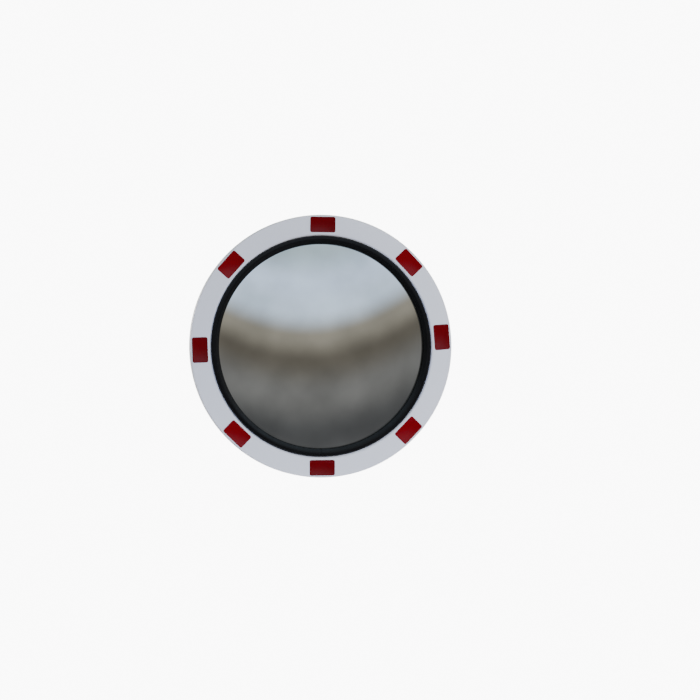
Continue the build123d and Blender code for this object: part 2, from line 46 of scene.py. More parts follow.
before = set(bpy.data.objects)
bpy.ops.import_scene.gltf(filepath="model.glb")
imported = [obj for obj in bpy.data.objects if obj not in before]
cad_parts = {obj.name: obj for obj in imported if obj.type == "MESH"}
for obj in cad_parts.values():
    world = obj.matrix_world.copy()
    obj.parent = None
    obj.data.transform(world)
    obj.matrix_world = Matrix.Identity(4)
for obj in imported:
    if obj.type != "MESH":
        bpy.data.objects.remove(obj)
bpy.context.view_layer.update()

MM = 0.001
ABOUT_Y = Vector((0, 1, 0))
ABOUT_Z = Vector((0, 0, 1))
RIPPLE = 1.6 * MM  # length of one ripple of a weld
WELD_STEPS = 4  # rings in a ripple
SAME_PLACE = 1e-6  # points this close are one point
SAME_LEVEL = 1e-7
EDGE_BREAK = 0.5 * MM  # on cut steel
QUARTER_TURN = math.pi / 2


# ---------------------------------------------------------------- places read from the frame


def middle(node):
    """Centre of a CAD node's box."""
    low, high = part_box(node)
    return (low + high) / 2


def span(node):
    """Size of a CAD node's box."""
    low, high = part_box(node)
    return high - low


RIM_RADIUS = span("shell").x / 2
RIM_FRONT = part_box("shell")[0].y
LIP_DEPTH = span("shell").y
DOME_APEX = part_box("mirror_dome")[0].y - RIM_FRONT
FLANGE_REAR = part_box("mirror_dome")[1].y - RIM_FRONT
MIRROR_EDGE = span("mirror_dome").x / 2
TILT_AXIS = Vector((0, middle("tilt_washers").y, 0))
PAN_AXIS = Vector((0, middle("pan_washers").y, 0))
PLATE_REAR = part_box("bracket_washers")[0].y
PAN_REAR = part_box("bracket_pad")[0].y - RIM_FRONT
STIFFENER_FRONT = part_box("stiffener_plate")[0].y
REFLECTORS = sorted(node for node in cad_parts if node.startswith("reflector_"))


def linear(hex_colour):
    """Linear RGBA of an sRGB hex value."""
    parts = [int(hex_colour[i : i + 2], 16) / 255 for i in (0, 2, 4)]
    return [c / 12.92 if c <= 0.04045 else ((c + 0.055) / 1.055) ** 2.4 for c in parts] + [1.0]


def length_prop(name, description, default):
    """A length that a user may change, in metres."""
    return bpy.props.FloatProperty(name=name, description=description, default=default, unit="LENGTH")


def watts_prop(name, description, default):
    """The power of a light, in watts."""
    return bpy.props.FloatProperty(name=name, description=description, default=default, subtype="POWER")


def colour_prop(name, description, hex_colour):
    """A colour that a user may change, given as an sRGB hex value."""
    return bpy.props.FloatVectorProperty(
        name=name, description=description, subtype="COLOR", size=4, min=0, max=1,
        default=linear(hex_colour),
    )


class FrameSizes(bpy.types.PropertyGroup):
    """Sizes of the moulded shell, the rubber and the mirror."""

    opening: length_prop("Opening", "Radius of the visible mirror", 301.0 * MM)
    mirror_sheet: length_prop("Mirror sheet", "Thickness of the mirror", 3.0 * MM)
    sheet: length_prop("Sheet", "Wall thickness of the shell", 3.0 * MM)
    lip_wall: length_prop("Lip wall", "Thickness of the lip at its rear edge", 2.8 * MM)
    ring_depth: length_prop("Ring depth", "Rear face of the raised ring behind the rim", 28.0 * MM)
    rib_height: length_prop("Rib height", "How far ribs and bosses stand out of the pan", 9.0 * MM)
    rib_width: length_prop("Rib width", "Width of a rib at its foot", 50.6 * MM)
    rib_top: length_prop("Rib top", "Width of a rib's flat top", 26.0 * MM)
    rib_inner: length_prop("Rib inner end", "Inner end of a rib from the middle", 118.0 * MM)
    rib_outer: length_prop("Rib outer end", "Outer end of a rib from the middle", 268.0 * MM)
    boss_radius: length_prop("Boss radius", "Radius of a round boss at its foot", 49.0 * MM)
    boss_top: length_prop("Boss top", "Radius of a boss's flat top", 34.8 * MM)
    boss_circle: length_prop("Boss circle", "Distance of a boss from the middle", 192.5 * MM)
    bead: length_prop("Bead", "How far the rubber stands out of the rim", 6.5 * MM)
    rubber_width: length_prop("Rubber width", "Visible width of the rubber", 22.4 * MM)
    notch: length_prop("Notch", "Depth of the notch where the rubber's ends meet", 5.0 * MM)
    plate_width: length_prop("Plate width", "Reflective plate along the radius", 45.6 * MM)
    plate_length: length_prop("Plate length", "Reflective plate round the rim", 74.0 * MM)
    plate_corner: length_prop("Plate corner", "Corner radius of a reflective plate", 5.5 * MM)


class BracketSizes(bpy.types.PropertyGroup):
    """Sizes of the bracket, the pivots and the clamp."""

    post: length_prop("Post", "Radius of the post", 38 * MM)
    clamp_wall: length_prop("Clamp wall", "Thickness of the half clamps", 5 * MM)
    clamp_ear: length_prop("Clamp ear", "Thickness of the ears on the clamp", 6 * MM)
    ear: length_prop("Ear", "Thickness of the ears on the plate", 4 * MM)
    ear_radius: length_prop("Ear nose", "Radius of an ear's round end", 20 * MM)
    plate_corner: length_prop("Plate corner", "Corner radius of the bracket's plate", 12 * MM)
    weld: length_prop("Weld", "Radius of a weld bead", 2.4 * MM)
    barrel: length_prop("Barrel", "Radius of the knuckle's barrels", 16 * MM)
    web_width: length_prop("Web width", "Width of the knuckle between its barrels", 24 * MM)
    web_height: length_prop("Web height", "Height of the knuckle between its barrels", 22 * MM)
    pivot_bolt: length_prop("Pivot bolt", "Radius of a pivot bolt", 6 * MM)
    pivot_hex: length_prop("Pivot hexagon", "Width across a pivot bolt's flats", 18 * MM)
    pivot_pitch: length_prop("Pivot thread", "Pitch of a pivot bolt's thread", 1.75 * MM)
    pivot_washer: length_prop("Pivot washer", "Radius of a pivot washer", 12 * MM)
    pivot_washer_thickness: length_prop("Pivot washer sheet", "Thickness of a pivot washer", 2.5 * MM)
    nylon_washer: length_prop("Nylon washer", "Radius of a nylon washer", 15 * MM)
    small_bolt: length_prop("Small bolt", "Radius of a plate or clamp bolt", 4 * MM)
    small_hex: length_prop("Small hexagon", "Width across a small nut's flats", 13 * MM)
    small_pitch: length_prop("Small thread", "Pitch of a small bolt's thread", 1.25 * MM)
    small_washer: length_prop("Small washer", "Radius of a small washer", 8 * MM)


class StudioSizes(bpy.types.PropertyGroup):
    """Places of the camera and strengths of the lights."""

    azimuth: bpy.props.FloatProperty(
        name="Azimuth", description="Camera's turn to the viewer's right", default=math.radians(-6.5),
        subtype="ANGLE",
    )
    lens: bpy.props.FloatProperty(name="Lens", description="Focal length in millimetres", default=135)
    distance: length_prop("Distance", "From the camera to the mirror", 7.65)
    aim_right: length_prop("Aim right", "How far right of the mirror the camera looks", 0.0815)
    aim_down: length_prop("Aim down", "How far below the mirror's middle the camera looks", 0.0112)
    floor_drop: length_prop("Floor drop", "Floor below the mirror's middle", 1.25)
    floor_radius: length_prop("Floor radius", "Radius of the round floor", 1.25)
    key_power: watts_prop("Key", "Power of the light at the front right", 138)
    low_power: watts_prop("Low", "Power of the bluish light below the mirror", 46)
    rear_power: watts_prop("Rear", "Power of the light behind", 250)
    side_power: watts_prop("Side", "Power of the weak light behind at the right", 14)


class Finishes(bpy.types.PropertyGroup):
    """Colours of the pieces."""

    shell: colour_prop("Shell", "Pale grey moulded plastic", "E0E0E2")
    rubber: colour_prop("Rubber", "Black rubber", "0A0A0B")
    red: colour_prop("Red", "Reflective plates", "620009")
    silver: colour_prop("Silver", "Silvering behind clear acrylic", "E9EDEF")
    zinc: colour_prop("Galvanised zinc", "Hot-dip galvanised steel", "CDD0D2")
    plating: colour_prop("Zinc plating", "Bolts, nuts and washers", "C2C4C6")
    rivets: colour_prop("Aluminium", "Blind rivets", "BEBFC1")
    nylon: colour_prop("Nylon", "Friction washers", "E2DED0")
    floor: colour_prop("Floor", "Studio floor", "F4F4F4")


# ---------------------------------------------------------------- materials


def add_node(tree, kind, inputs=(), links=(), **settings):
    """A node with its settings, its constant inputs and its incoming links."""
    made = tree.nodes.new(kind)
    for name, value in settings.items():
        setattr(made, name, value)
    for name, value in dict(inputs).items():
        made.inputs[name].default_value = value
    for name, socket in dict(links).items():
        tree.links.new(socket, made.inputs[name])
    return made


def start_material(name, **inputs):
    """A new material with a Principled shader, its tree and its object coordinates."""
    material = bpy.data.materials.new(name)
    material.use_nodes = True
    tree = material.node_tree
    tree.nodes.clear()
    named = {name.replace("_", " "): value for name, value in inputs.items()}
    shader = add_node(tree, "ShaderNodeBsdfPrincipled", named)
    add_node(tree, "ShaderNodeOutputMaterial", links={"Surface": shader.outputs["BSDF"]})
    place = add_node(tree, "ShaderNodeTexCoord").outputs["Object"]
    return material, tree, shader, place


def shade(colour, factor):
    """A colour made lighter or darker."""
    return [min(1.0, c * factor) for c in colour[:3]] + [1.0]


def per_mm(size):
    """Texture scale that gives features of a size in millimetres."""
    return 1 / (size * MM)


def vary(tree, shader, colour_by, dark, light, gloss_by=None, smooth=0.0, rough=0.0):
    """Varies a shader's colour, and where asked its roughness, by patterns that run from 0 to 1."""
    tint = add_node(tree, "ShaderNodeMix", {6: dark, 7: light}, {0: colour_by}, data_type="RGBA")
    tree.links.new(tint.outputs[2], shader.inputs["Base Color"])
    if gloss_by:
        gloss = add_node(
            tree, "ShaderNodeMapRange", {"To Min": smooth, "To Max": rough}, {"Value": gloss_by}
        )
        tree.links.new(gloss.outputs["Result"], shader.inputs["Roughness"])


def noise(tree, place, size, detail):
    """A cloudy pattern with features of a size in millimetres."""
    made = add_node(
        tree, "ShaderNodeTexNoise", {"Scale": per_mm(size), "Detail": detail}, {"Vector": place}
    )
    return made.outputs["Fac"]


def raise_by(tree, shader, height, strength, depth):
    """Gives a shader's surface the relief of a pattern, with its depth in millimetres."""
    bump = add_node(
        tree, "ShaderNodeBump", {"Strength": strength, "Distance": depth * MM}, {"Height": height}
    )
    tree.links.new(bump.outputs["Normal"], shader.inputs["Normal"])


def moulded_plastic(finishes):
    # ASA, injection moulded with a fine satin grain: even pale grey, soft wide highlights
    material, tree, shader, place = start_material("moulded_asa", Roughness=0.34, IOR=1.5)
    cloud, rub = noise(tree, place, 140, 3.0), noise(tree, place, 22, 4.0)
    vary(
        tree, shader, cloud, shade(finishes.shell, 0.965), shade(finishes.shell, 1.025), rub, 0.28, 0.40
    )
    # the real grain is about 0.2 mm; it is drawn at 0.9 mm so that it shows
    raise_by(tree, shader, noise(tree, place, 0.9, 2.0), 0.08, 0.05)
    return material


def silvered_acrylic(finishes):
    # clear acrylic sheet, formed hot and silvered behind: a sharp mirror with very slight waves
    material, tree, shader, place = start_material(
        "silvered_acrylic", Base_Color=finishes.silver, Metallic=1.0, Roughness=0.02
    )
    raise_by(tree, shader, noise(tree, place, 110, 1.0), 0.12, 0.25)
    return material


def extruded_rubber(finishes):
    # EPDM, extruded: deep black with a dull sheen and faint die lines along its length
    material, tree, shader, place = start_material(
        "extruded_epdm", Roughness=0.45, IOR=1.52, Specular_IOR_Level=0.22
    )
    dust = noise(tree, place, 35, 5.0)
    vary(tree, shader, dust, shade(finishes.rubber, 0.8), shade(finishes.rubber, 1.5), dust, 0.36, 0.55)
    # the lines follow the distance from the mirror's middle line
    flat = add_node(tree, "ShaderNodeVectorMath", {1: (1, 0, 1)}, {0: place}, operation="MULTIPLY")
    reach = add_node(tree, "ShaderNodeVectorMath", links={0: flat.outputs[0]}, operation="LENGTH")
    lines = add_node(
        tree, "ShaderNodeTexNoise", {"Scale": per_mm(0.8), "Detail": 2.0},
        {"W": reach.outputs["Value"]}, noise_dimensions="1D",
    )
    raise_by(tree, shader, lines.outputs["Fac"], 0.25, 0.08)
    return material


def cut_rubber(finishes):
    # EPDM sheet, cut: matt black with an open grain
    material, tree, shader, place = start_material(
        "cut_epdm_sheet", Base_Color=finishes.rubber, Roughness=0.85, IOR=1.52
    )
    raise_by(tree, shader, noise(tree, place, 0.9, 4.0), 0.5, 0.2)
    return material


def prismatic_red(finishes):
    # acrylic reflective sheet, moulded in tiny three-sided prisms under a clear gloss face
    material, tree, shader, _ = start_material(
        "prismatic_red_acrylic", Roughness=0.24, IOR=1.49, Specular_IOR_Level=0.25
    )
    flat = add_node(tree, "ShaderNodeUVMap", uv_map="plate")
    # prisms are about 0.2 mm; the rows are drawn 1.6 mm apart so that they show
    rows = []
    for angle in (0, 60, 120):
        along = Vector((math.cos(math.radians(angle)), math.sin(math.radians(angle)), 0)) * per_mm(1.6)
        across = add_node(
            tree, "ShaderNodeVectorMath", {1: along}, {0: flat.outputs["UV"]}, operation="DOT_PRODUCT"
        )
        ridge = add_node(
            tree, "ShaderNodeMath", {1: 0.5}, {0: across.outputs["Value"]}, operation="PINGPONG"
        )
        rows.append(ridge.outputs["Value"])
    pair = add_node(tree, "ShaderNodeMath", links={0: rows[0], 1: rows[1]}, operation="MINIMUM")
    prism = add_node(
        tree, "ShaderNodeMath", links={0: pair.outputs["Value"], 1: rows[2]}, operation="MINIMUM"
    )
    depth = add_node(tree, "ShaderNodeMapRange", {"From Max": 0.22}, {"Value": prism.outputs["Value"]})
    tint = add_node(
        tree, "ShaderNodeMix", {6: shade(finishes.red, 0.78), 7: shade(finishes.red, 1.10)},
        {0: depth.outputs["Result"]}, data_type="RGBA",
    )
    # painted light: the red is multiplied by each plate's painted level of the light that its prisms send
    # back
    painted_prism_light = add_node(tree, "ShaderNodeAttribute", attribute_name="painted_prism_light")
    turned = add_node(
        tree, "ShaderNodeMix", {0: 1.0}, {6: tint.outputs[2], 7: painted_prism_light.outputs["Fac"]}, data_type="RGBA",
        blend_type="MULTIPLY",
    )
    tree.links.new(turned.outputs[2], shader.inputs["Base Color"])
    raise_by(tree, shader, prism.outputs["Value"], 0.15, 0.1)
    return material


def galvanised(finishes, name, spangle, grain_size, grain_strength):
    """Dull zinc with crystals of one size over a grain of one size, both in millimetres."""
    material, tree, shader, place = start_material(name, Metallic=1.0, Roughness=0.45)
    crystals = add_node(
        tree, "ShaderNodeTexVoronoi", {"Scale": per_mm(spangle), "Randomness": 1.0}, {"Vector": place}
    )
    level = add_node(tree, "ShaderNodeSeparateColor", links={"Color": crystals.outputs["Color"]}).outputs
    vary(
        tree, shader, level["Red"], shade(finishes.zinc, 0.82), shade(finishes.zinc, 1.08),
        level["Green"], 0.40, 0.56,
    )
    raise_by(tree, shader, noise(tree, place, grain_size, 3.0), grain_strength, 0.2)
    return material


def zinc_plated(finishes):
    # steel, cold formed and zinc plated: bright grey with a soft satin gleam
    material, tree, shader, place = start_material("zinc_plated_steel", Metallic=1.0, Roughness=0.3)
    haze = noise(tree, place, 5, 4.0)
    vary(tree, shader, haze, shade(finishes.plating, 0.80), shade(finishes.plating, 1.08), haze, 0.22, 0.42)
    return material


def plain_aluminium(finishes):
    # aluminium rivets, pressed: pale metal with fine turning marks
    material, tree, shader, place = start_material("pressed_aluminium", Metallic=1.0, Roughness=0.4)
    marks = noise(tree, place, 0.7, 3.0)
    vary(tree, shader, marks, shade(finishes.rivets, 0.54), finishes.rivets)
    return material


def natural_nylon(finishes):
    # nylon, machined: milky off-white, slightly translucent
    material, tree, shader, place = start_material(
        "natural_nylon", Roughness=0.5, IOR=1.53, Subsurface_Weight=0.15, Subsurface_Scale=1.0 * MM
    )
    haze = noise(tree, place, 4, 2.0)
    vary(tree, shader, haze, shade(finishes.nylon, 0.94), shade(finishes.nylon, 1.03))
    return material


def white_paper(finishes):
    # paper, uncoated: matt white, with a glow of its own that keeps the floor pale
    return start_material(
        "matt_white_paper", Base_Color=finishes.floor, Roughness=0.9, Emission_Color=finishes.floor,
        Emission_Strength=0.6,
    )[0]


MAKERS = {
    "moulded_asa": moulded_plastic,
    "silvered_acrylic": silvered_acrylic,
    "extruded_epdm": extruded_rubber,
    "cut_epdm_sheet": cut_rubber,
    "prismatic_red_acrylic": prismatic_red,
    # hot-dip galvanised sheet: dull zinc with clear crystals
    "galvanised_sheet": lambda finishes: galvanised(finishes, "galvanised_sheet", 6.0, 2.5, 0.12),
    # galvanised casting: smaller crystals over the grain of the sand
    "galvanised_casting": lambda finishes: galvanised(finishes, "galvanised_casting", 3.0, 1.2, 0.40),
    "zinc_plated_steel": zinc_plated,
    "pressed_aluminium": plain_aluminium,
    "natural_nylon": natural_nylon,
    "matt_white_paper": white_paper,
}


def material_named(name):
    """A material, made the first time it is asked for."""
    return bpy.data.materials.get(name) or MAKERS[name](bpy.context.scene.road_mirror_finishes)


# ---------------------------------------------------------------- mesh helpers


def finish_piece(mesh_data, name, body, material, replaces, crease=35.0):
    """Makes a bmesh an object in place, shaded smooth up to a crease angle in degrees."""
    mesh = bpy.data.meshes.new(name)
    mesh_data.to_mesh(mesh)
    mesh_data.free()
    piece = bpy.data.objects.new(name, mesh)
    bpy.context.scene.collection.objects.link(piece)
    mesh.shade_smooth()
    mesh.set_sharp_from_angle(angle=math.radians(crease))
    mesh.materials.append(material_named(material))
    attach(piece, body)
    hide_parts(*replaces)
    return piece


def join(target, other):
    """Adds one bmesh to another and frees it."""
    carrier = bpy.data.meshes.new("carrier")
    other.to_mesh(carrier)
    other.free()
    target.from_mesh(carrier)
    bpy.data.meshes.remove(carrier)


def rounded(corners, bends, steps=8):
    """Outline through corners, each inner one rounded to its bend radius."""
    points = [Vector(corners[0])]
    for before, corner, after, bend in zip(corners, corners[1:], corners[2:], bends):
        corner = Vector(corner)
        back = (Vector(before) - corner).normalized()
        on = (Vector(after) - corner).normalized()
        half = back.angle(on) / 2
        if bend == 0 or abs(half - QUARTER_TURN) < 1e-4:
            points.append(corner)
            continue
        centre = corner + (back + on).normalized() * bend / math.sin(half)
        start = (corner + back * bend / math.tan(half) - centre).normalized()
        end = (corner + on * bend / math.tan(half) - centre).normalized()
        for step in range(steps + 1):
            points.append(centre + start.slerp(end, step / steps) * bend)
    points.append(Vector(corners[-1]))
    return points


def draw_section(mesh_data, points, closed=False):
    """Edges through (radius, depth) points, in the half plane at +X."""
    verts = [mesh_data.verts.new((r, RIM_FRONT + depth, 0)) for r, depth in points]
    pairs = list(zip(verts, verts[1:] + verts[:1] if closed else verts[1:]))
    return verts, [mesh_data.edges.new(pair) for pair in pairs]


def spin_section(mesh_data, points, steps, closed=False):
    """A full round of a section about the mirror's middle line."""
    verts, edges = draw_section(mesh_data, points, closed)
    bmesh.ops.spin(
        mesh_data, geom=verts + edges, cent=(0, 0, 0), axis=ABOUT_Y, angle=math.tau, steps=steps,
        use_merge=True,
    )
    bmesh.ops.remove_doubles(mesh_data, verts=mesh_data.verts, dist=SAME_PLACE)


def spun_about_z(points, steps=32):
    """A closed turned shape about Z, from (radius, height) points that start and end on the axis."""
    made = bmesh.new()
    verts = [made.verts.new((r, 0, z)) for r, z in points]
    edges = [made.edges.new(pair) for pair in zip(verts, verts[1:])]
    bmesh.ops.spin(
        made, geom=verts + edges, cent=(0, 0, 0), axis=ABOUT_Z, angle=math.tau, steps=steps, use_merge=True
    )
    bmesh.ops.remove_doubles(made, verts=made.verts, dist=SAME_PLACE)
    bmesh.ops.recalc_face_normals(made, faces=made.faces)
    return made


def aim(place, along):
    """Matrix that takes +Z to a direction, at a place."""
    return Matrix.Translation(place) @ Vector(along).to_track_quat("Z", "Y").to_matrix().to_4x4()


def laid(x_axis, y_axis, place):
    """Matrix that lays a flat plate with its X and Y along two directions."""
    x_axis, y_axis = Vector(x_axis), Vector(y_axis)
    turned = Matrix((x_axis, y_axis, x_axis.cross(y_axis))).transposed().to_4x4()
    return Matrix.Translation(place) @ turned


def put(target, made, matrix):
    """Places a bmesh and adds it to another."""
    bmesh.ops.transform(made, matrix=matrix, verts=made.verts)
    join(target, made)


def ring_edges(verts):
    """Edges whose two ends are both in a ring of points."""
    ring = set(verts)
    return list({edge for vert in verts for edge in vert.link_edges if ring.issuperset(edge.verts)})


def bridge_rings(made, rings):
    """Walls from each ring of points to the next."""
    for one, other in zip(rings, rings[1:]):
        bmesh.ops.bridge_loops(made, edges=ring_edges(one) + ring_edges(other))


def corner_places(node, reach):
    """The four (x, z) places that lie a reach inside the corners of a node's box."""
    low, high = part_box(node)
    return [(x, z) for x in (low.x + reach, high.x - reach) for z in (low.z + reach, high.z - reach)]


def soften(made, items, offset, segments, affect="EDGES"):
    """Bevels edges, or corners when affect says VERTICES."""
    bmesh.ops.bevel(
        made, geom=items, offset=offset, offset_type="OFFSET", affect=affect, segments=segments,
        profile=0.5, material=-1,
    )


def lift(made, height):
    """Thickens a flat outline along +Z."""
    flat = [*made.faces, *made.edges, *made.verts]
    lid = bmesh.ops.extrude_face_region(made, geom=flat)["geom"]
    lifted = [item for item in lid if isinstance(item, bmesh.types.BMVert)]
    bmesh.ops.translate(made, vec=(0, 0, height), verts=lifted)
    bmesh.ops.remove_doubles(made, verts=made.verts, dist=SAME_PLACE)
    bmesh.ops.recalc_face_normals(made, faces=made.faces)


def is_level(edge):
    """Whether an edge lies flat in the XY plane's direction."""
    return abs(edge.verts[0].co.z - edge.verts[1].co.z) < SAME_LEVEL


def lift_plate(made, thickness, edge_break):
    """Thickens a flat outline along +Z and breaks the edges of its two faces."""
    lift(made, thickness)
    square = math.radians(80)
    rims = [edge for edge in made.edges if edge.calc_face_angle(0) > square and is_level(edge)]
    soften(made, rims, edge_break, segments=2)


def rounded_plate(width, height, corner, thickness, edge_break, steps=8):
    """A plate on the XY plane with rounded corners and broken edges, built up along +Z."""
    made = bmesh.new()
    bmesh.ops.create_grid(made, x_segments=1, y_segments=1, size=0.5)
    bmesh.ops.scale(made, vec=(width, height, 1), verts=made.verts)
    soften(made, made.verts[:], corner, segments=steps, affect="VERTICES")
    lift_plate(made, thickness, edge_break)
    return made


# ---------------------------------------------------------------- shell


def pressing(made, matrix, half_run, radius, profile):
    """A closed rib or boss: a slot outline lifted through (inset, height) steps, then given its top."""
    # 50 points, so that none lies where the round ends meet the straight sides
    first = radius - profile[0][0]
    ring = bmesh.ops.create_circle(made, cap_ends=False, segments=50, radius=first)["verts"]
    for vert in ring:
        vert.co.x += math.copysign(half_run, vert.co.x)
    foot = ring_edges(ring)
    walls, edges = list(ring), foot
    for (inset, height), (next_inset, next_height) in zip(profile, profile[1:]):
        lifted = bmesh.ops.extrude_edge_only(made, edges=edges)["geom"]
        edges = [item for item in lifted if isinstance(item, bmesh.types.BMEdge)]
        for vert in (item for item in lifted if isinstance(item, bmesh.types.BMVert)):
            spine = Vector((max(-half_run, min(half_run, vert.co.x)), 0, vert.co.z))
            vert.co += (spine - vert.co).normalized() * (next_inset - inset)
            vert.co.z += next_height - height
            walls.append(vert)
        edges = [
            edge for edge in edges if all(abs(vert.co.z - next_height) < SAME_LEVEL for vert in edge.verts)
        ]
    bmesh.ops.triangle_fill(made, edges=edges, use_beauty=True)
    bmesh.ops.transform(made, matrix=matrix, verts=walls)
    return foot


def pressings(made, sizes, depth, shift, foot_bend, top_bend):
    """The four ribs and four bosses on one face of the pan, and the edges of their outer outlines."""
    outlines = []
    rib_run = (sizes.rib_outer - sizes.rib_inner) / 2
    rib_middle = (sizes.rib_outer + sizes.rib_inner) / 2
    boss_slope = sizes.boss_radius - sizes.boss_top
    rib_slope = (sizes.rib_width - sizes.rib_top) / 2
    kinds = [
        (0, rib_middle, sizes.rib_width / 2, rib_run - sizes.rib_width / 2, rib_slope),
        (math.pi / 4, sizes.boss_circle, sizes.boss_radius, 0.0, boss_slope),
    ]
    for first_turn, reach, radius, half_run, slope_run in kinds:
        wall_shift = shift * math.tan(math.atan2(sizes.rib_height, slope_run) / 2)
        corners = [
            (wall_shift - 4 * MM, 0),
            (wall_shift, 0),
            (wall_shift + slope_run, sizes.rib_height),
            (wall_shift + slope_run + 5 * MM, sizes.rib_height),
        ]
        profile = rounded(corners, [foot_bend, top_bend], steps=5)
        for quarter in range(4):
            turn = first_turn + quarter * QUARTER_TURN
            across, up = math.cos(turn), math.sin(turn)
            place = Vector((reach * across, RIM_FRONT + depth, reach * up))
            matrix = laid((across, 0, up), (up, 0, -across), place)
            outlines += pressing(made, matrix, half_run, radius, profile)
    return outlines


def shell_sections(sizes):
    """Rear and front outlines of the shell's round section, from the flat pan to the lip's edge."""
    slope = math.radians(56)
    wall_draft = 1 * MM
    pan_bend, ring_bend = 18 * MM, 15 * MM
    rubber_radius = sizes.opening + sizes.rubber_width
    ring_wall = rubber_radius + 1.2 * MM
    channel = ring_wall - sizes.sheet
    ring_corner = sizes.opening + 3 * MM - ring_bend * math.tan(slope / 2)
    pan_corner = ring_corner - (sizes.ring_depth - PAN_REAR) / math.tan(slope)
    shift = sizes.sheet * math.tan(slope / 2)
    pan_flat = pan_corner - pan_bend * math.tan(slope / 2) - 2 * MM
    lip_inner = RIM_RADIUS - sizes.lip_wall
    rear = rounded(
        [
            (pan_flat, PAN_REAR),
            (pan_corner, PAN_REAR),
            (ring_corner, sizes.ring_depth),
            (ring_wall - wall_draft, sizes.ring_depth),
            (ring_wall + wall_draft / 2, sizes.sheet),
            (lip_inner - 3 * MM, sizes.sheet),
            (lip_inner, LIP_DEPTH),
            (RIM_RADIUS, LIP_DEPTH),
            (RIM_RADIUS - 0.5 * MM, LIP_DEPTH / 2),
        ],
        [pan_bend, ring_bend, 2.5 * MM, 14 * MM, 9 * MM, 1.1 * MM, 1.1 * MM],
    )
    front = rounded(
        [
            (RIM_RADIUS - 0.5 * MM, LIP_DEPTH / 2),
            (RIM_RADIUS - 1 * MM, 0),
            (channel, 0),
            (channel - wall_draft, sizes.ring_depth - sizes.sheet),
            (ring_corner + shift, sizes.ring_depth - sizes.sheet),
            (pan_corner + shift, PAN_REAR - sizes.sheet),
            (pan_flat, PAN_REAR - sizes.sheet),
        ],
        [4 * MM, 9.5 * MM, 1.5 * MM, ring_bend - sizes.sheet, pan_bend + sizes.sheet],
    )
    return rear, front


class ROADMIRROR_OT_shell(bpy.types.Operator):
    """Moulds the shell: rim, lip, raised ring and pan with ribs and bosses"""

    bl_idname = "road_mirror.shell"
    bl_label = "Shell"

    def execute(self, context):
        sizes = context.scene.road_mirror_frame
        rear, front = shell_sections(sizes)
        made = bmesh.new()
        spin_section(made, rear + front[1:], steps=256)
        pan_rings = sorted(
            (edge for edge in made.edges if edge.is_boundary), key=lambda edge: edge.verts[0].co.y
        )
        half = len(pan_rings) // 2
        faces = [
            (pan_rings[half:], PAN_REAR, 0.0, 3 * MM, 2.5 * MM),
            (pan_rings[:half], PAN_REAR - sizes.sheet, sizes.sheet, 6 * MM, 1 * MM),
        ]
        for outer, depth, shift, foot_bend, top_bend in faces:
            inner = pressings(made, sizes, depth, shift, foot_bend, top_bend)
            bmesh.ops.triangle_fill(made, edges=outer + inner, use_beauty=True)
        bmesh.ops.remove_doubles(made, verts=made.verts, dist=SAME_PLACE)
        bmesh.ops.recalc_face_normals(made, faces=made.faces)
        shell = finish_piece(
            made, "moulded_shell", "mirror_head", "moulded_asa", ["shell"]
        )
        shell.modifiers.new("flat faces stay flat", "WEIGHTED_NORMAL").keep_sharp = True
        return {"FINISHED"}


# ---------------------------------------------------------------- mirror and rubber


def cap_outline(radius, edge, centre, steps):
    """Points of a round cap from its middle out to an edge radius."""
    turn = math.asin(edge / radius)
    return [
        (radius * math.sin(turn * step / steps), centre - radius * math.cos(turn * step / steps))
        for step in range(steps + 1)
    ]


class ROADMIRROR_OT_mirror(bpy.types.Operator):
    """Forms the silvered dome with its flat border"""

    bl_idname = "road_mirror.mirror"
    bl_label = "Mirror"

    def execute(self, context):
        sizes = context.scene.road_mirror_frame
        foot = sizes.opening + 2 * MM
        thickness = sizes.mirror_sheet
        flange = FLANGE_REAR - thickness
        rise = flange - DOME_APEX
        radius = (foot**2 + rise**2) / (2 * rise)
        centre = DOME_APEX + radius
        rear_foot = math.sqrt((radius - thickness) ** 2 - (centre - FLANGE_REAR) ** 2)
        front = cap_outline(radius, foot, centre, steps=80)
        rear = cap_outline(radius - thickness, rear_foot, centre, steps=24)
        border = [(MIRROR_EDGE, flange), (MIRROR_EDGE, FLANGE_REAR)]
        made = bmesh.new()
        spin_section(made, front + border + rear[::-1], steps=224)
        bmesh.ops.recalc_face_normals(made, faces=made.faces)
        finish_piece(
            made, "silvered_dome", "mirror_head", "silvered_acrylic", ["mirror_dome"], crease=12
        )
        return {"FINISHED"}


def rubber_section(sizes):
    """Closed outline of the rubber's section: base, outer lip, bead and the slot for the mirror."""
    opening = sizes.opening
    outer = opening + sizes.rubber_width
    channel = outer + 1.2 * MM - sizes.sheet
    floor = sizes.ring_depth - sizes.sheet
    slot = MIRROR_EDGE + 0.7 * MM
    slot_front = FLANGE_REAR - sizes.mirror_sheet - 0.2 * MM
    slot_rear = FLANGE_REAR + 0.2 * MM
    inside = opening + 4 * MM
    corners = [
        (inside, floor - 4 * MM),
        (inside, floor),
        (channel - 2.7 * MM, floor),
        (channel - 1.5 * MM, floor - 3 * MM),
        (channel - 1 * MM, 7.5 * MM),
        (outer, 2.9 * MM),
        (outer - 2.2 * MM, -4 * MM),
        (opening + 9.5 * MM, -sizes.bead),
        (opening, slot_front - 3.6 * MM),
        (opening + 0.4 * MM, slot_front - 1.4 * MM),
        (inside, slot_front),
        (slot, slot_front),
        (slot, slot_rear),
        (inside, slot_rear),
        (inside, floor - 4 * MM),
    ]
    bends = [0.4, 0, 0, 1, 0.7, 5, 5, 0.8, 0.5, 0.3, 0.4, 0.4, 0.4]
    return rounded(corners, [bend * MM for bend in bends], steps=6)[:-1]


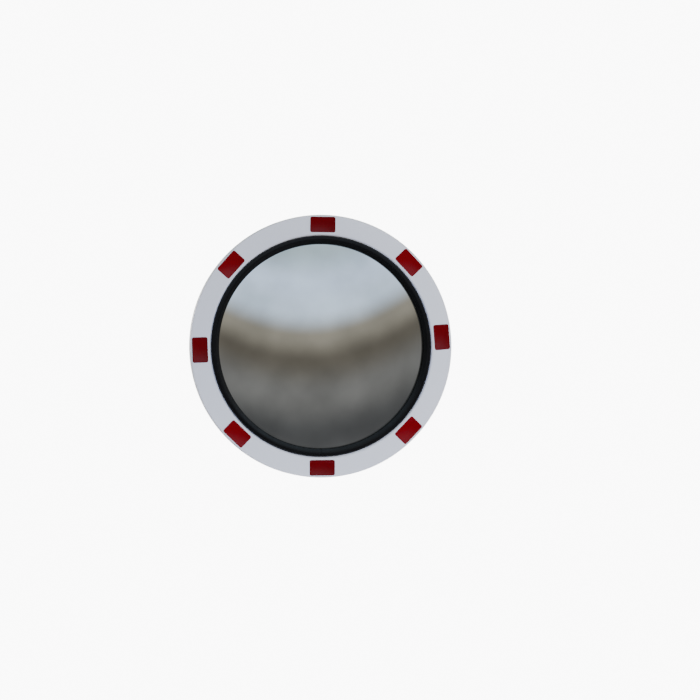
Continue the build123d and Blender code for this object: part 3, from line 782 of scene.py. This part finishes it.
class ROADMIRROR_OT_rubber(bpy.types.Operator):
    """Runs the rubber profile round the mirror, butted with a small notch at the bottom"""

    bl_idname = "road_mirror.rubber"
    bl_label = "Edge rubber"

    def execute(self, context):
        sizes = context.scene.road_mirror_frame
        made = bmesh.new()
        verts, edges = draw_section(made, rubber_section(sizes), closed=True)
        made.faces.new(verts)
        gap, fine = math.radians(0.2), math.radians(3)
        down = Matrix.Rotation(QUARTER_TURN + gap / 2, 3, "Y")
        bmesh.ops.rotate(made, cent=(0, 0, 0), matrix=down, verts=verts)
        loop = verts + edges
        for turn, steps in ((fine, 40), (math.tau - gap - 2 * fine, 236), (fine, 40)):
            loop = bmesh.ops.spin(
                made, geom=loop, cent=(0, 0, 0), axis=ABOUT_Y, angle=turn, steps=steps
            )["geom_last"]
        last_end = [item for item in loop if isinstance(item, bmesh.types.BMEdge)]
        bmesh.ops.edgeloop_fill(made, edges=last_end)
        # the outer lip is cut back to a point where the two ends meet
        outer = sizes.opening + sizes.rubber_width
        for vert in made.verts:
            floor = -(outer - sizes.notch + 2.4 * abs(vert.co.x))
            if vert.co.y < RIM_FRONT + 8 * MM and abs(vert.co.x) < sizes.notch and vert.co.z < floor:
                vert.co.z = floor
        bmesh.ops.recalc_face_normals(made, faces=made.faces)
        finish_piece(
            made, "edge_rubber", "mirror_head", "extruded_epdm", ["edge_gasket"], crease=40
        )
        return {"FINISHED"}


# ---------------------------------------------------------------- plates and rivets on the frame


class ROADMIRROR_OT_reflectors(bpy.types.Operator):
    """Sets the eight reflective plates on the rim"""

    bl_idname = "road_mirror.reflectors"
    bl_label = "Reflective plates"

    def execute(self, context):
        sizes = context.scene.road_mirror_frame
        for node in REFLECTORS:
            place = middle(node)
            turn = math.atan2(place.z, place.x)
            made = rounded_plate(
                sizes.plate_width, sizes.plate_length, sizes.plate_corner, span(node).y, 0.15 * MM
            )
            top = max(made.faces, key=lambda face: face.calc_center_median().z)
            bmesh.ops.inset_region(made, faces=[top], thickness=1.6 * MM, depth=0, use_even_offset=True)
            bmesh.ops.inset_region(
                made, faces=[top], thickness=0.35 * MM, depth=-0.14 * MM, use_even_offset=True
            )
            flat = made.loops.layers.uv.new("plate")
            for face in made.faces:
                for loop in face.loops:
                    loop[flat].uv = loop.vert.co.xy
            seat = Vector((place.x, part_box(node)[1].y, place.z))
            outwards, round_rim = (math.cos(turn), 0, math.sin(turn)), (-math.sin(turn), 0, math.cos(turn))
            bmesh.ops.transform(made, matrix=laid(outwards, round_rim, seat), verts=made.verts)
            plate = finish_piece(
                made, node.replace("reflector", "plate"), "mirror_head",
                "prismatic_red_acrylic", [node], crease=50,
            )
            # painted light: each plate's red is made lighter or darker by its turn round the rim, standing
            # in for the light that its turned prisms send back
            painted_prism_light = plate.data.attributes.new("painted_prism_light", "FLOAT", "POINT")
            painted_prism_level = 0.9 + 0.45 * abs(math.sin(2 * turn))
            painted_prism_light.data.foreach_set("value", [painted_prism_level] * len(plate.data.vertices))
        return {"FINISHED"}


class ROADMIRROR_OT_rivets(bpy.types.Operator):
    """Pulls the eight blind rivets through the ring"""

    bl_idname = "road_mirror.rivets"
    bl_label = "Rivets"

    def execute(self, context):
        low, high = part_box("edge_rivets")
        head, body, eye, bulb = 4.8 * MM, 2.4 * MM, 1.4 * MM, 3.8 * MM
        circle = high.x - head
        head_height = 1.6 * MM
        eye_end = -4 * MM
        tail = head_height - (high.y - low.y)
        outline = rounded(
            [
                (0, eye_end),
                (eye, eye_end),
                (eye, head_height),
                (head * 0.72, head_height * 0.92),
                (head, 0),
                (body, 0),
                (body, tail + 4 * MM),
                (bulb, tail + 3 * MM),
                (bulb, tail),
                (0, tail),
            ],
            [0, 0.3 * MM, 2 * MM, 0.15 * MM, 0, 0, 0, 1 * MM],
            steps=5,
        )
        made = bmesh.new()
        for number in range(8):
            turn = number * QUARTER_TURN / 2
            seat = Vector((circle * math.cos(turn), high.y - head_height, circle * math.sin(turn)))
            put(made, spun_about_z(outline, steps=36), aim(seat, ABOUT_Y))
        finish_piece(
            made, "blind_rivets", "mirror_head", "pressed_aluminium", ["edge_rivets"]
        )
        return {"FINISHED"}


# ---------------------------------------------------------------- fasteners


def hex_block(across, bottom, top):
    """A hexagon block whose corners are chamfered at both ends."""
    made = bmesh.new()
    crown = across * 0.475
    chamfer = math.tan(math.radians(30))
    rings = []
    for end, inwards in ((bottom, 1), (top, -1)):
        for on_crown in (True, False):
            ring = bmesh.ops.create_circle(made, cap_ends=False, segments=72, radius=1.0)["verts"]
            for vert in ring:
                turn = math.atan2(vert.co.y, vert.co.x)
                # distance to the flat side at this turn
                side = across / 2 / math.cos(turn % (math.tau / 6) - math.tau / 12)
                reach = crown if on_crown else side
                vert.co = vert.co.normalized() * reach
                vert.co.z = end + inwards * (reach - crown) * chamfer
            rings.append(ring)
    rings = [rings[0], rings[1], rings[3], rings[2]]
    bridge_rings(made, rings)
    for ring in (rings[0], rings[-1]):
        bmesh.ops.edgeloop_fill(made, edges=ring_edges(ring))
    bmesh.ops.recalc_face_normals(made, faces=made.faces)
    return made


def threaded_shank(radius, length, pitch, thread):
    """A round shank below the seat plane, with rings for a thread over its lower end."""
    root = radius - 0.54 * pitch
    into_head = 1 * MM
    outline = [(0, into_head), (radius, into_head), (radius, thread - length)]
    turns = int((thread - pitch) / pitch)
    for turn in range(turns):
        height = thread - length - turn * pitch
        outline += [(root, height - 0.4 * pitch), (root, height - 0.55 * pitch), (radius, height - pitch)]
        outline += [(radius, height - 1.1 * pitch)]
    outline += [(root - 0.2 * pitch, -length), (0, -length)]
    return spun_about_z(outline, steps=40)


def hex_bolt(made, seat, along, across, head, radius, length, pitch):
    """A hexagon bolt whose head stands on a seat and points along a direction."""
    place = aim(seat, along)
    collar, collar_height = across * 0.47, 0.5 * MM
    put(made, hex_block(across, 0.3 * MM, head), place)
    put(made, spun_about_z([(0, 0), (collar, 0), (collar, collar_height), (0, collar_height)]), place)
    put(made, threaded_shank(radius, length, pitch, thread=3 * radius), place)


def lock_nut(made, seat, along, across, height, radius):
    """A nut with a nylon ring in its rounded collar."""
    place = aim(seat, along)
    shoulder = height * 0.7
    collar, lip, bore = across * 0.445, across * 0.36, radius * 1.08
    ring_top = height - 0.6 * MM
    put(made, hex_block(across, 0, shoulder), place)
    outline = rounded(
        [
            (0, shoulder - 1 * MM),
            (collar, shoulder - 1 * MM),
            (collar, height),
            (lip, height),
            (lip, ring_top),
            (bore, ring_top),
            (bore, shoulder),
            (0, shoulder),
        ],
        [0, 1.1 * MM, 0.25 * MM, 0, 0.2 * MM, 0],
        steps=4,
    )
    turned = spun_about_z(outline, steps=48)
    for face in turned.faces:
        spot = face.calc_center_median()
        if spot.xy.length < lip - 10 * SAME_PLACE and spot.z > ring_top - 0.3 * MM:
            face.material_index = 1  # nylon
    put(made, turned, place)


def flat_washer(made, seat, along, radius, hole, thickness):
    """A pressed washer with one rounded face, standing on a seat."""
    start = (hole, thickness / 2)
    corners = [start, (hole, 0), (radius, 0), (radius, thickness), (hole, thickness), start]
    bends = [0.1 * MM, 0.1 * MM, thickness * 0.25, 0.15 * MM]
    put(made, spun_about_z(rounded(corners, bends, steps=3), steps=56), aim(seat, along))


def finish_plated(body, groups):
    """Finishes groups of plated steel pieces, each for one node, with nylon where a nut has it."""
    for node, made in groups.items():
        piece = finish_piece(made, "steel_" + node, body, "zinc_plated_steel", [node])
        if any(polygon.material_index for polygon in piece.data.polygons):
            piece.data.materials.append(material_named("natural_nylon"))


def finish_galvanised(made, node, body, material="galvanised_sheet"):
    """Finishes a galvanised piece that stands for a node."""
    return finish_piece(made, "steel_" + node, body, material, [node])


class ROADMIRROR_OT_head_fasteners(bpy.types.Operator):
    """Bolts the bracket to the pan, with its stiffener inside and its rubber pad outside"""

    bl_idname = "road_mirror.head_fasteners"
    bl_label = "Bracket fasteners"

    def execute(self, context):
        sizes = context.scene.road_mirror_bracket
        bolts, washers, nuts = bmesh.new(), bmesh.new(), bmesh.new()
        head_front, bolt_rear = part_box("carriage_bolts")[0].y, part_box("carriage_bolts")[1].y
        washer_front, washer_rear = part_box("bracket_washers")[0].y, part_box("bracket_washers")[1].y
        nut_height = span("bracket_nuts").y
        radius, neck = sizes.small_bolt, sizes.small_bolt * 2
        under_head = STIFFENER_FRONT
        head = under_head - head_front
        outline = rounded(
            [(0, head), (radius * 1.4, head), (radius * 2.5, 0), (0, 0)], [3 * MM, 0.3 * MM], steps=6
        )
        for x, z in corner_places("bracket_washers", sizes.small_washer):
            seat = Vector((x, under_head, z))
            put(bolts, spun_about_z(outline, steps=40), aim(seat, -ABOUT_Y))
            put(bolts, rounded_plate(neck, neck, 0.6 * MM, 5 * MM, 0.3 * MM, steps=3), aim(seat, ABOUT_Y))
            shank = threaded_shank(radius, bolt_rear - under_head, sizes.small_pitch, thread=16 * MM)
            put(bolts, shank, aim(seat, -ABOUT_Y))
            flat_washer(
                washers, Vector((x, washer_front, z)), ABOUT_Y, sizes.small_washer, radius * 1.06,
                washer_rear - washer_front,
            )
            lock_nut(nuts, Vector((x, washer_rear, z)), ABOUT_Y, sizes.small_hex, nut_height, radius)
        finish_plated(
            "mirror_head", {"carriage_bolts": bolts, "bracket_washers": washers, "bracket_nuts": nuts}
        )
        low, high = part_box("bracket_pad")
        pad = rounded_plate(
            high.x - low.x, high.z - low.z, sizes.plate_corner, high.y - low.y, 0.25 * MM
        )
        bmesh.ops.transform(pad, matrix=aim(Vector((0, low.y, 0)), ABOUT_Y), verts=pad.verts)
        finish_piece(pad, "rubber_pad", "mirror_head", "cut_epdm_sheet", ["bracket_pad"])
        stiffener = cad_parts["stiffener_plate"]
        stiffener.data.materials.clear()
        stiffener.data.materials.append(material_named("galvanised_sheet"))
        return {"FINISHED"}


# ---------------------------------------------------------------- welded and cast steel


def weld_bead(made, points, radius):
    """A ripple weld along a row of points, sunk to its middle in the corner that it fills."""
    bead = bmesh.new()
    rings = []
    for number, place in enumerate(points):
        before, after = points[max(number - 1, 0)], points[min(number + 1, len(points) - 1)]
        from_end = max(min((place - points[0]).length, (place - points[-1]).length), 0.05 * radius)
        closing = min(1.0, math.sqrt(from_end / radius))
        swell = 0.88 + 0.12 * abs(math.sin(math.pi * number / WELD_STEPS))
        ring = bmesh.ops.create_circle(
            bead, cap_ends=False, segments=20, radius=radius * swell * closing,
            matrix=aim(place, after - before),
        )["verts"]
        rings.append(ring)
    bridge_rings(bead, rings)
    for ring in (rings[0], rings[-1]):
        bmesh.ops.edgeloop_fill(bead, edges=ring_edges(ring))
    bmesh.ops.recalc_face_normals(bead, faces=bead.faces)
    join(made, bead)


def plate_from_outline(points, thickness, edge_break):
    """A flat plate cut to a closed outline on the XY plane, built up along +Z."""
    made = bmesh.new()
    made.faces.new([made.verts.new((x, y, 0)) for x, y in points])
    lift_plate(made, thickness, edge_break)
    return made


def arc_points(centre, radius, start, end, steps):
    """Points of an arc, with its angles in degrees."""
    return [
        (
            centre[0] + radius * math.cos(math.radians(start + (end - start) * step / steps)),
            centre[1] + radius * math.sin(math.radians(start + (end - start) * step / steps)),
        )
        for step in range(steps + 1)
    ]


class ROADMIRROR_OT_head_bracket(bpy.types.Operator):
    """Welds two ears to the plate behind the mirror"""

    bl_idname = "road_mirror.head_bracket"
    bl_label = "Head bracket"

    def execute(self, context):
        sizes = context.scene.road_mirror_bracket
        low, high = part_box("head_bracket")
        ear_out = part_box("tilt_washers")[1].x - sizes.pivot_washer_thickness
        made = bmesh.new()
        plate = rounded_plate(
            high.x - low.x, high.z - low.z, sizes.plate_corner, PLATE_REAR - low.y, EDGE_BREAK
        )
        put(made, plate, aim(Vector((0, low.y, 0)), ABOUT_Y))
        foot = (high.z - low.z) / 2 - sizes.plate_corner
        # across the ear, X runs to the rear and Y up
        sunk = PLATE_REAR - 0.5 * MM
        round_end = arc_points((TILT_AXIS.y, 0), sizes.ear_radius, -82, 82, 28)
        outline = [(sunk, -foot), *round_end, (sunk, foot)]
        for side in (-1, 1):
            inner = min(side * ear_out, side * (ear_out - sizes.ear))
            ear = plate_from_outline(outline, sizes.ear, EDGE_BREAK)
            put(made, ear, laid((0, 1, 0), (0, 0, 1), Vector((inner, 0, 0))))
            weld_run = foot - 2 * MM
            for face in (ear_out, ear_out - sizes.ear):
                low_end = Vector((side * face, PLATE_REAR, -weld_run))
                high_end = Vector((side * face, PLATE_REAR, weld_run))
                steps = WELD_STEPS * round(2 * weld_run / RIPPLE)
                row = [low_end.lerp(high_end, step / steps) for step in range(steps + 1)]
                weld_bead(made, row, sizes.weld)
        finish_galvanised(made, "head_bracket", "mirror_head")
        return {"FINISHED"}


class ROADMIRROR_OT_tilt_pivot(bpy.types.Operator):
    """Puts the level pivot bolt through the ears and the knuckle"""

    bl_idname = "road_mirror.tilt_pivot"
    bl_label = "Tilt pivot"

    def execute(self, context):
        build_pivot(context.scene.road_mirror_bracket, "tilt", 0, "mirror_head")
        return {"FINISHED"}


class ROADMIRROR_OT_pan_pivot(bpy.types.Operator):
    """Puts the upright pivot bolt through the clamp's ears and the knuckle"""

    bl_idname = "road_mirror.pan_pivot"
    bl_label = "Pan pivot"

    def execute(self, context):
        build_pivot(context.scene.road_mirror_bracket, "pan", 2, "post_clamp")
        return {"FINISHED"}


def build_pivot(sizes, kind, axis, body):
    """Bolt, nut, steel washers and nylon washers of one pivot, whose line runs along an axis."""
    along = Vector((0, 0, 0))
    along[axis] = 1
    place = middle(kind + "_washers")
    low, high = (corner[axis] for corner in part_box(kind + "_washers"))
    bolt_low, bolt_high = (corner[axis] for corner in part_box(kind + "_bolt"))
    nylon_low, nylon_high = (corner[axis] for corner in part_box(kind + "_friction_washers"))
    radius = sizes.pivot_bolt
    bolt, nut, washers, nylon = bmesh.new(), bmesh.new(), bmesh.new(), bmesh.new()
    hex_bolt(
        bolt, place + along * high, along, sizes.pivot_hex, bolt_high - high, radius, high - bolt_low,
        sizes.pivot_pitch,
    )
    lock_nut(nut, place + along * low, -along, sizes.pivot_hex, span(kind + "_nut")[axis], radius)
    thick = sizes.pivot_washer_thickness
    for seat, way in ((high - thick, along), (low + thick, -along)):
        flat_washer(washers, place + along * seat, way, sizes.pivot_washer, radius * 1.05, thick)
    for seat, way in ((nylon_high, -along), (nylon_low, along)):
        flat_washer(nylon, place + along * seat, way, sizes.nylon_washer, radius * 1.05, 1.5 * MM)
    finish_plated(body, {kind + "_bolt": bolt, kind + "_nut": nut, kind + "_washers": washers})
    finish_piece(
        nylon, "nylon_" + kind + "_washers", body, "natural_nylon", [kind + "_friction_washers"]
    )


class ROADMIRROR_OT_knuckle(bpy.types.Operator):
    """Casts the knuckle that joins the two pivots"""

    bl_idname = "road_mirror.knuckle"
    bl_label = "Knuckle"

    def execute(self, context):
        sizes = context.scene.road_mirror_bracket
        low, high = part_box("swivel_knuckle")
        level_length = high.x - low.x
        upright_length = high.z - low.z
        radius = sizes.barrel
        machined = sizes.pivot_bolt + 8.5 * MM
        rough = bmesh.new()
        for length, place, along in (
            (level_length, TILT_AXIS, Vector((1, 0, 0))),
            (upright_length, PAN_AXIS, ABOUT_Z),
        ):
            half, edge = length / 2, 1 * MM
            barrel = [(0, -half), (radius - edge, -half), (radius, edge - half), (radius, half - edge)]
            barrel += [(radius - edge, half), (0, half)]
            put(rough, spun_about_z(barrel, steps=64), aim(place, along))
        reach = (PAN_AXIS - TILT_AXIS).length
        web = rounded_plate(sizes.web_width, sizes.web_height, 4 * MM, reach, 0.3 * MM)
        put(rough, web, aim(TILT_AXIS, PAN_AXIS - TILT_AXIS))
        rib = rounded_plate(6 * MM, sizes.web_height + 8 * MM, 2.5 * MM, reach, 0.3 * MM)
        put(rough, rib, aim(TILT_AXIS, PAN_AXIS - TILT_AXIS))
        mesh = bpy.data.meshes.new("rough_casting")
        rough.to_mesh(mesh)
        rough.free()
        casting = bpy.data.objects.new("rough_casting", mesh)
        context.scene.collection.objects.link(casting)
        remesh = casting.modifiers.new("one casting", "REMESH")
        remesh.mode, remesh.voxel_size = "VOXEL", 0.8 * MM  # fine enough for 2 mm fillets
        fillets = casting.modifiers.new("cast fillets", "SMOOTH")
        fillets.factor, fillets.iterations = 0.5, 10
        made = bmesh.new()
        made.from_object(casting, context.evaluated_depsgraph_get())
        bpy.data.objects.remove(casting)
        face_barrel(made, TILT_AXIS, 0, level_length / 2, machined)
        face_barrel(made, PAN_AXIS, 2, upright_length / 2, machined)
        piece = finish_galvanised(made, "swivel_knuckle", "swivel", "galvanised_casting")
        piece.data.shade_smooth()
        return {"FINISHED"}


def face_barrel(made, place, axis, half, radius):
    """Flattens the two machined end faces of a barrel, whose bore its washers and bolt hide."""
    depth = 0.8 * MM
    for vert in made.verts:
        across = vert.co - place
        along = across[axis]
        across[axis] = 0
        if across.length < radius and abs(along) > half - depth:
            vert.co[axis] = place[axis] + math.copysign(half, along)


class ROADMIRROR_OT_post_clamp(bpy.types.Operator):
    """Forms the two half clamps and welds the pivot ears to the front one"""

    bl_idname = "road_mirror.post_clamp"
    bl_label = "Post clamp"

    def execute(self, context):
        sizes = context.scene.road_mirror_bracket
        low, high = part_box("clamp_rear")
        height = high.z - low.z
        reach = high.x
        gap = low.y
        for node, side in (("clamp_front", -1), ("clamp_rear", 1)):
            made = bmesh.new()
            put(made, half_clamp(sizes, height, reach, gap), Matrix.Rotation(math.pi * (side < 0), 4, "Z"))
            if node == "clamp_front":
                add_pan_ears(made, sizes)
            finish_galvanised(made, node, "post_clamp")
        return {"FINISHED"}


def half_clamp(sizes, height, reach, gap):
    """A strip bent round half of the post, with a flange on each side, on the +Y side of the gap."""
    inner, outer = sizes.post, sizes.post + sizes.clamp_wall
    opening = math.degrees(math.asin(gap / inner))
    inner_arc = arc_points((0, 0), inner, opening, 180 - opening, 64)
    flange_out = gap + sizes.clamp_wall
    bend = sizes.clamp_wall * 0.8
    # the bend between the saddle and a flange touches both
    bend_x = math.sqrt((outer + bend) ** 2 - (flange_out + bend) ** 2)
    touch = math.degrees(math.atan2(flange_out + bend, bend_x))
    root = arc_points((bend_x, flange_out + bend), bend, 180 + touch, 270, 6)
    saddle = arc_points((0, 0), outer, touch, 180 - touch, 64)
    left_root = [(-x, y) for x, y in root]
    outline = [(inner_arc[0][0], gap), (reach, gap), (reach, flange_out), *root[::-1], *saddle[1:-1]]
    outline += [*left_root, (-reach, flange_out), (-reach, gap), *inner_arc[::-1][:-1]]
    strip = bmesh.new()
    strip.faces.new([strip.verts.new((x, y, -height / 2)) for x, y in outline])
    lift(strip, height)
    corners = [
        edge for edge in strip.edges
        if is_level(edge) and all(abs(vert.co.x) > reach - SAME_PLACE for vert in edge.verts)
    ]
    soften(strip, corners, 6 * MM, segments=8)
    sharp = math.radians(60)
    edges = [edge for edge in strip.edges if edge.is_manifold and edge.calc_face_angle(0) > sharp]
    soften(strip, edges, EDGE_BREAK, segments=2)
    return strip


def add_pan_ears(made, sizes):
    """The two ears that hold the upright pivot, welded to the saddle on both of their faces."""
    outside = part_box("pan_washers")[1].z - sizes.pivot_washer_thickness
    saddle = sizes.post + sizes.clamp_wall
    root_x = saddle * 0.75
    root_y = -math.sqrt((saddle - 1 * MM) ** 2 - root_x**2)
    edge_angle = math.degrees(math.atan2(root_y, root_x))
    outline = arc_points((0, PAN_AXIS.y), sizes.ear_radius, 180, 360, 32)
    outline += arc_points((0, 0), saddle - 1 * MM, edge_angle, -180 - edge_angle, 24)
    for side in (-1, 1):
        inner = min(side * outside, side * (outside - sizes.clamp_ear))
        ear = plate_from_outline(outline, sizes.clamp_ear, 0.6 * MM)
        put(made, ear, Matrix.Translation((0, 0, inner)))
        for face in (outside, outside - sizes.clamp_ear):
            start, end = edge_angle - 4, -176 - edge_angle
            steps = WELD_STEPS * round(math.radians(start - end) * saddle / RIPPLE)
            row = arc_points((0, 0), saddle, start, end, steps)
            weld_bead(made, [Vector((x, y, side * face)) for x, y in row], sizes.weld)


class ROADMIRROR_OT_clamp_fasteners(bpy.types.Operator):
    """Draws the half clamps together with four bolts"""

    bl_idname = "road_mirror.clamp_fasteners"
    bl_label = "Clamp fasteners"

    def execute(self, context):
        sizes = context.scene.road_mirror_bracket
        bolts, washers, nuts = bmesh.new(), bmesh.new(), bmesh.new()
        low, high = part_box("clamp_washers")
        bolt_low, bolt_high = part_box("clamp_bolts")
        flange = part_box("clamp_rear")[0].y + sizes.clamp_wall
        for x, z in corner_places("clamp_washers", sizes.small_washer):
            front, rear = Vector((x, low.y, z)), Vector((x, high.y, z))
            hex_bolt(
                bolts, front, -ABOUT_Y, sizes.small_hex, low.y - bolt_low.y, sizes.small_bolt,
                bolt_high.y - low.y, sizes.small_pitch,
            )
            lock_nut(nuts, rear, ABOUT_Y, sizes.small_hex, span("clamp_nuts").y, sizes.small_bolt)
            for seat, way in (((x, -flange, z), -ABOUT_Y), ((x, flange, z), ABOUT_Y)):
                flat_washer(
                    washers, Vector(seat), way, sizes.small_washer, sizes.small_bolt * 1.06, high.y - flange
                )
        finish_plated("post_clamp", {"clamp_bolts": bolts, "clamp_washers": washers, "clamp_nuts": nuts})
        return {"FINISHED"}


# ---------------------------------------------------------------- studio


def soft_light(name, place, target, size, power, colour="FFFFFF", glossy=False):
    """A square soft box that shines at a target, and that a glossy face may or may not show."""
    data = bpy.data.lights.new(name, "AREA")
    data.shape, data.size, data.energy = "SQUARE", size, power
    data.color = linear(colour)[:3]
    light = bpy.data.objects.new(name, data)
    bpy.context.scene.collection.objects.link(light)
    light.matrix_world = aim(Vector(place), Vector(place) - Vector(target))
    light.visible_glossy = glossy
    light.visible_camera = False
    return light


def studio_world(context):
    """White ground for the camera, and a soft overcast sky over dark ground for everything else."""
    world = bpy.data.worlds.new("soft_studio")
    world.use_nodes = True
    tree = world.node_tree
    tree.nodes.clear()
    way = add_node(tree, "ShaderNodeTexCoord").outputs["Generated"]
    parts = add_node(tree, "ShaderNodeSeparateXYZ", links={"Vector": way}).outputs
    # the skyline rises to both sides
    sides = add_node(tree, "ShaderNodeMath", links={0: parts["X"], 1: parts["X"]}, operation="MULTIPLY")
    height = add_node(
        tree, "ShaderNodeMath", {1: -0.5}, {0: sides.outputs[0], 2: parts["Z"]}, operation="MULTIPLY_ADD"
    )
    spread = add_node(
        tree, "ShaderNodeMapRange", {"From Min": -1.0, "From Max": 1.0}, {"Value": height.outputs[0]}
    )
    sky = add_node(tree, "ShaderNodeValToRGB", links={"Fac": spread.outputs["Result"]})
    ramp = sky.color_ramp
    ramp.interpolation = "EASE"
    stops = [
        (0.00, (0.30, 0.30, 0.31)),
        (0.22, (0.085, 0.085, 0.085)),
        (0.34, (0.20, 0.195, 0.185)),
        (0.45, (0.14, 0.125, 0.10)),
        (0.53, (0.34, 0.31, 0.25)),
        (0.62, (0.84, 1.00, 1.20)),
        (0.70, (0.90, 1.08, 1.34)),
        (0.80, (0.55, 0.68, 0.74)),
        (1.00, (0.80, 0.86, 0.92)),
    ]
    while len(ramp.elements) < len(stops):
        ramp.elements.new(0.5)
    for element, (place, colour) in zip(ramp.elements, stops):
        element.position, element.color = place, [*colour, 1.0]
    clouds = add_node(
        tree, "ShaderNodeTexNoise", {"Scale": 4.0, "Detail": 3.0, "Roughness": 0.4}, {"Vector": way}
    )
    patchy = add_node(
        tree, "ShaderNodeMapRange", {"From Min": 0.3, "From Max": 0.7, "To Min": 0.84, "To Max": 1.14},
        {"Value": clouds.outputs["Fac"]},
    )
    # less light comes from behind the mirror than from the front
    behind = add_node(
        tree, "ShaderNodeMapRange", {"From Min": -0.05, "From Max": 0.35, "To Min": 1.0, "To Max": 0.16},
        {"Value": parts["Y"]},
    )
    strength = add_node(
        tree, "ShaderNodeMath", links={0: patchy.outputs["Result"], 1: behind.outputs["Result"]},
        operation="MULTIPLY",
    )
    around = add_node(
        tree, "ShaderNodeBackground", links={"Color": sky.outputs["Color"], "Strength": strength.outputs[0]}
    )
    white = add_node(tree, "ShaderNodeBackground", {"Color": (1, 1, 1, 1), "Strength": 10.0})
    seen = add_node(tree, "ShaderNodeLightPath").outputs["Is Camera Ray"]
    both = add_node(tree, "ShaderNodeMixShader", links={0: seen, 1: around.outputs[0], 2: white.outputs[0]})
    add_node(tree, "ShaderNodeOutputWorld", links={"Surface": both.outputs[0]})
    context.scene.world = world


class ROADMIRROR_OT_studio(bpy.types.Operator):
    """Sets the floor, the soft lights and the camera"""

    bl_idname = "road_mirror.studio"
    bl_label = "Studio"

    def execute(self, context):
        sizes = context.scene.road_mirror_studio
        centre = middle("mirror_dome")
        floor_data = bmesh.new()
        bmesh.ops.create_circle(floor_data, cap_ends=True, segments=96, radius=sizes.floor_radius)
        mesh = bpy.data.meshes.new("pale_floor")
        floor_data.to_mesh(mesh)
        floor_data.free()
        floor = bpy.data.objects.new("pale_floor", mesh)
        context.scene.collection.objects.link(floor)
        floor.location.z = -sizes.floor_drop
        floor.visible_glossy = False
        mesh.materials.append(material_named("matt_white_paper"))
        studio_world(context)
        soft_light("right_box", (3.2, -2.8, 0.7), centre, 1.6, sizes.key_power)
        soft_light("low_box", (0.1, -1.8, -1.5), centre, 1.0, sizes.low_power, "C4D2FF")
        soft_light("rear_box", (-3.6, 1.6, 0.9), centre, 1.2, sizes.rear_power, glossy=True)
        soft_light("side_box", (3.2, 1.3, 0.8), centre, 1.6, sizes.side_power, glossy=True)
        turn = sizes.azimuth
        right = Vector((math.cos(turn), math.sin(turn), 0))
        back = Vector((math.sin(turn), -math.cos(turn), 0))
        aimed = Vector((0, centre.y, 0)) + right * sizes.aim_right - ABOUT_Z * sizes.aim_down
        data = bpy.data.cameras.new("front_camera")
        data.lens = sizes.lens
        data.clip_end = 100
        camera = bpy.data.objects.new("front_camera", data)
        context.scene.collection.objects.link(camera)
        camera.matrix_world = aim(aimed + back * sizes.distance, back)
        context.scene.camera = camera
        return {"FINISHED"}


# ---------------------------------------------------------------- panel and start

OPERATORS = [
    ROADMIRROR_OT_shell,
    ROADMIRROR_OT_mirror,
    ROADMIRROR_OT_rubber,
    ROADMIRROR_OT_reflectors,
    ROADMIRROR_OT_rivets,
    ROADMIRROR_OT_head_fasteners,
    ROADMIRROR_OT_head_bracket,
    ROADMIRROR_OT_tilt_pivot,
    ROADMIRROR_OT_knuckle,
    ROADMIRROR_OT_pan_pivot,
    ROADMIRROR_OT_post_clamp,
    ROADMIRROR_OT_clamp_fasteners,
    ROADMIRROR_OT_studio,
]


class ROADMIRROR_PT_panel(bpy.types.Panel):
    """Lists the pieces of the road mirror"""

    bl_idname = "ROADMIRROR_PT_panel"
    bl_label = "Road Mirror"
    bl_space_type = "VIEW_3D"
    bl_region_type = "UI"
    bl_category = "Road Mirror"

    def draw(self, context):
        for operator in OPERATORS:
            self.layout.operator(operator.bl_idname)


GROUPS = {
    "road_mirror_frame": FrameSizes,
    "road_mirror_bracket": BracketSizes,
    "road_mirror_studio": StudioSizes,
    "road_mirror_finishes": Finishes,
}
CLASSES = [*GROUPS.values(), *OPERATORS, ROADMIRROR_PT_panel]


def register():
    for item in CLASSES:
        bpy.utils.register_class(item)
    for name, group in GROUPS.items():
        setattr(bpy.types.Scene, name, bpy.props.PointerProperty(type=group))


def unregister():
    for name in GROUPS:
        delattr(bpy.types.Scene, name)
    for item in reversed(CLASSES):
        bpy.utils.unregister_class(item)


def main():
    register()
    for operator in OPERATORS:
        family, action = operator.bl_idname.split(".")
        getattr(getattr(bpy.ops, family), action)()


if __name__ == "__main__":
    main()
